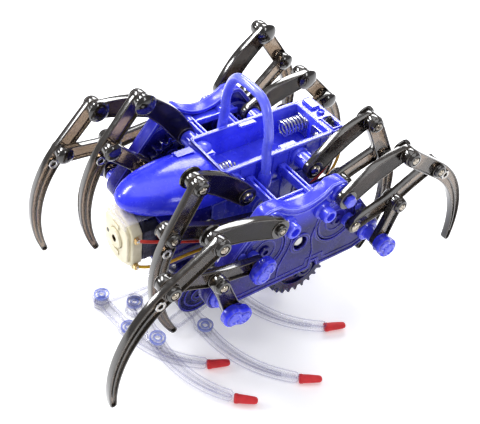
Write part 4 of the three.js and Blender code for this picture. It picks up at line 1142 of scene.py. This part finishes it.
# Each leg's root, its tip, and how high its root is above the table.
CLEAR_LEGS = (
    ((-16.1, -56.9), (38.8, -28.5), 0),
    ((-2.9, -48.7), (60.2, -29.8), BASE_TOP + SLOPE_ROOM - FLOOR),
    ((-4.7, -26.5), (65.1, -1.3), 0),
    ((-10.2, -7), (48.1, 25.6), 0),
)
BOOT = [(0, 0), (0, 1.9), (0.3, 2.15), (1.4, 2.15), (1.6, 2.0), (5, 1.85), (8.2, 1.6), (9.0, 1.35)]
BOOT += [(9.4, 0.8), (TIP_LENGTH, 0)]


def stand_leg(index, root, tip, lift):
    """One clear leg on the table, with its red tip."""
    run, across = tip[0] - root[0], tip[1] - root[1]
    reach = math.hypot(run, across)
    size = reach / math.hypot(*CLAW_TIP)
    knee = TOP_TO_KNEE * size
    whole = bent_line(size, 30)
    widths = [3.7] + [2.5] * 6 + [3.5] + [2.75 - 1.1 * k / 30 for k in range(31)]
    keep = [k for k, point in enumerate(whole) if math.dist(point, whole[-1]) > TIP_LENGTH + 0.4]
    line, widths = [whole[k] for k in keep], [widths[k] for k in keep]
    # From the leg's own plane to the table: turned to its tip, and tilted up to its root.
    place = Matrix.Translation((*root, FLOOR + lift)) @ Matrix.Rotation(math.atan2(across, run), 4, "Z")
    place = place @ Matrix.Rotation(math.asin(lift / reach), 4, "Y")
    place = place @ Matrix.Rotation(-math.atan2(CLAW_TIP[1], CLAW_TIP[0]), 4, "Z")

    holes = [circle(0, 0, 1.9, 20), circle(knee, 0, 1.9, 20)]
    parts = [
        upright([ribbon(line, widths), ribbon(line, widths, 0.7)], 0.02, CLEAR_THICKNESS),
        upright([ribbon(line, widths, 0.5), *holes], 1.2, 2.4, 0.15),
        upright([ribbon(line[10:-3], 0.35, round_steps=4)], 0.7, 2.9, 0.12),
    ]
    for x, hole in zip((0, knee), holes):
        parts.append(upright([circle(x, 0, 3.2), hole], 0.05, CLEAR_THICKNESS - 0.02, 0.2))
    piece = Piece(f"clear_leg_{index}_moulding", "chassis", "clear_plastic", (f"clear_leg_{index}",))
    for part in parts:
        part.transform(place)
        piece.put(part)
    # The blue washers on the pivot bosses are painted shade.
    for radius, hole in ((3.5, 2.7), (1.9, 1.2)):
        boss_shade = washer(radius, hole, 0.9, (knee, 0, CLEAR_THICKNESS - 0.1))
        boss_shade.transform(place)
        piece.put(boss_shade, CLEAR_BOSS_SHADE)
    piece.done()

    end, before = whole[-1], whole[-3]
    heading = math.atan2(end[1] - before[1], end[0] - before[0])
    back = TIP_LENGTH - 0.3
    origin = (end[0] - back * math.cos(heading), end[1] - back * math.sin(heading), CLEAR_THICKNESS / 2)
    boot = turned(BOOT, (0, 0, 0), (1, 0, 0), 28)
    boot.transform(Matrix.Diagonal((1, 1, CLEAR_THICKNESS / 2 / TIP_RADIUS, 1)))
    boot.transform(place @ Matrix.Translation(origin) @ Matrix.Rotation(heading, 4, "Z"))
    piece = Piece(f"red_tip_{index}_boot", "chassis", "red_rubber", (f"red_tip_{index}",))
    piece.put(boot, RED)
    piece.done(60)


for index, leg in enumerate(CLEAR_LEGS, 1):
    stand_leg(index, *leg)

piece = Piece("clear_base_moulding", "chassis", "clear_plastic", ("clear_base",))
REAR_FOOT = (-13.5, 30)
roots = [leg[0] for leg in CLEAR_LEGS]
# The base's rails and their half-widths. Each rail has raised edges.
for points, half in (
    ([roots[0], (-14, -20), REAR_FOOT], 4.2),
    ([roots[1], (-8, -26), (0, -8)], 3.8),
    ([roots[2], (0, -8), roots[3]], 3.6),
    ([(11.5, -37), (8, -22), (3, -8)], 3.2),
    ([REAR_FOOT, (0, 22), (8, 18)], 3.4),
    ([(0, -8), (1, 18)], 4),
):
    piece.put(upright([ribbon(points, half)], BASE_BOTTOM + 0.05, BASE_BOTTOM + 1.3, 0.2))
    piece.put(upright([ribbon(points, half), ribbon(points, half, 0.9)], BASE_BOTTOM, BASE_TOP, 0.25))
for y in POSTS:
    piece.put(upright([rectangle(-12.2, 12.2, y - 3, y + 3, 1)], BASE_BOTTOM, BASE_TOP))
foot = [(0, 0), (0, 4.5), (0.5, 5), (3.9, 5), (4.4, 4.5), (4.4, 0)]
piece.put(turned(foot, (*REAR_FOOT, FLOOR), UP, 40))
for root, _, lift in CLEAR_LEGS:
    top = BASE_TOP + CLEAR_THICKNESS - 0.4 if lift else BASE_TOP
    # The blue washers on the pivot bosses are painted shade.
    for radius, hole in ((3.4, 2.6), (1.9, 1.1)):
        piece.put(washer(radius, hole, 1, (*root, top - 0.2)), CLEAR_BOSS_SHADE)
    piece.put(disc(1.4, top - FLOOR - 0.5, (*root, FLOOR + 0.4), UP, 20))
piece.done()

# A thin clear bracket bent over the motor's end bell.
piece = Piece("clear_motor_bracket", "chassis", "clear_plastic")
piece.put(box(-9, 9, bell_face - 0.2, -46.8, -6.2, -5.4, 0.2))
piece.put(box(-9, 9, bell_face - 0.6, bell_face + 0.2, -8.6, -5.4, 0.2))
piece.done()

# ---- floor, light and camera --------------------------------------------------------------

scene = bpy.context.scene
paper = Shader("studio_floor")
paper.colour(paper.ramp(paper.noise(3, 3), [(0.3, (0.90, 0.90, 0.91)), (0.7, (0.94, 0.94, 0.945))]))
paper.roughness(0.6, 0.75, scale=30)
paper.set(Emission_Color=(1, 1, 1, 1), Emission_Strength=0.25)
floor_mesh = bpy.data.meshes.new("floor")
corners = [(-6, -6, -0.0003), (6, -6, -0.0003), (6, 6, -0.0003), (-6, 6, -0.0003)]
floor_mesh.from_pydata(corners, [], [(0, 1, 2, 3)])
floor_mesh.materials.append(paper.material)
floor = bpy.data.objects.new("floor", floor_mesh)
scene.collection.objects.link(floor)

scene.world = bpy.data.worlds.new("studio")
scene.world.use_nodes = True
background = scene.world.node_tree.nodes["Background"]
background.inputs["Color"].default_value = (0.95, 0.96, 1.0, 1)
background.inputs["Strength"].default_value = 0.4


def soft_light(name, position, size, power):
    """A rectangular lamp that faces the middle of the model."""
    light = bpy.data.lights.new(name, "AREA")
    light.shape = "RECTANGLE"
    light.size, light.size_y = size
    light.energy = power
    holder = bpy.data.objects.new(name, light)
    holder.location = position
    aim = Vector((0, 0, 0.04)) - Vector(position)
    holder.rotation_euler = aim.to_track_quat("-Z", "Y").to_euler()
    scene.collection.objects.link(holder)


soft_light("overhead", (-0.05, 0.05, 0.95), (0.8, 0.8), 4.2)
soft_light("rim", (-0.56, 0.5, 0.62), (0.5, 0.3), 5.5)
soft_light("key", (-0.54, -0.25, 0.71), (0.40, 0.13), 6.4)
soft_light("front", (-0.54, -0.60, 0.42), (0.14, 0.16), 1.8)
soft_light("side", (0.7, 0.1, 0.45), (0.1, 0.3), 1.1)

# The camera looks at the chassis frame's origin, and is turned a little about its own axis.
AZIMUTH, ELEVATION, ROLL = math.radians(49.9), math.radians(38.0), math.radians(7.07)
DISTANCE, FOCAL_WIDTHS, SENSOR = 371.15, 928.55 / 480, 36
right = Vector((math.cos(AZIMUTH), math.sin(AZIMUTH), 0))
back = Vector((right.y, -right.x, 0)) * math.cos(ELEVATION) + Vector((0, 0, math.sin(ELEVATION)))
up = back.cross(right)
turned_right = right * math.cos(ROLL) + up * math.sin(ROLL)
turned_up = up * math.cos(ROLL) - right * math.sin(ROLL)
lens = bpy.data.cameras.new("camera")
lens.sensor_width, lens.lens = SENSOR, SENSOR * FOCAL_WIDTHS
lens.shift_x, lens.shift_y = -0.016, -0.127
lens.clip_start = 0.01
camera = bpy.data.objects.new("camera", lens)
axes = Matrix((turned_right, turned_up, back)).transposed().to_4x4()
camera.matrix_world = Matrix.Translation(back * DISTANCE * MM + SHIFT) @ axes
scene.collection.objects.link(camera)
scene.camera = camera
scene.view_settings.view_transform = "Standard"
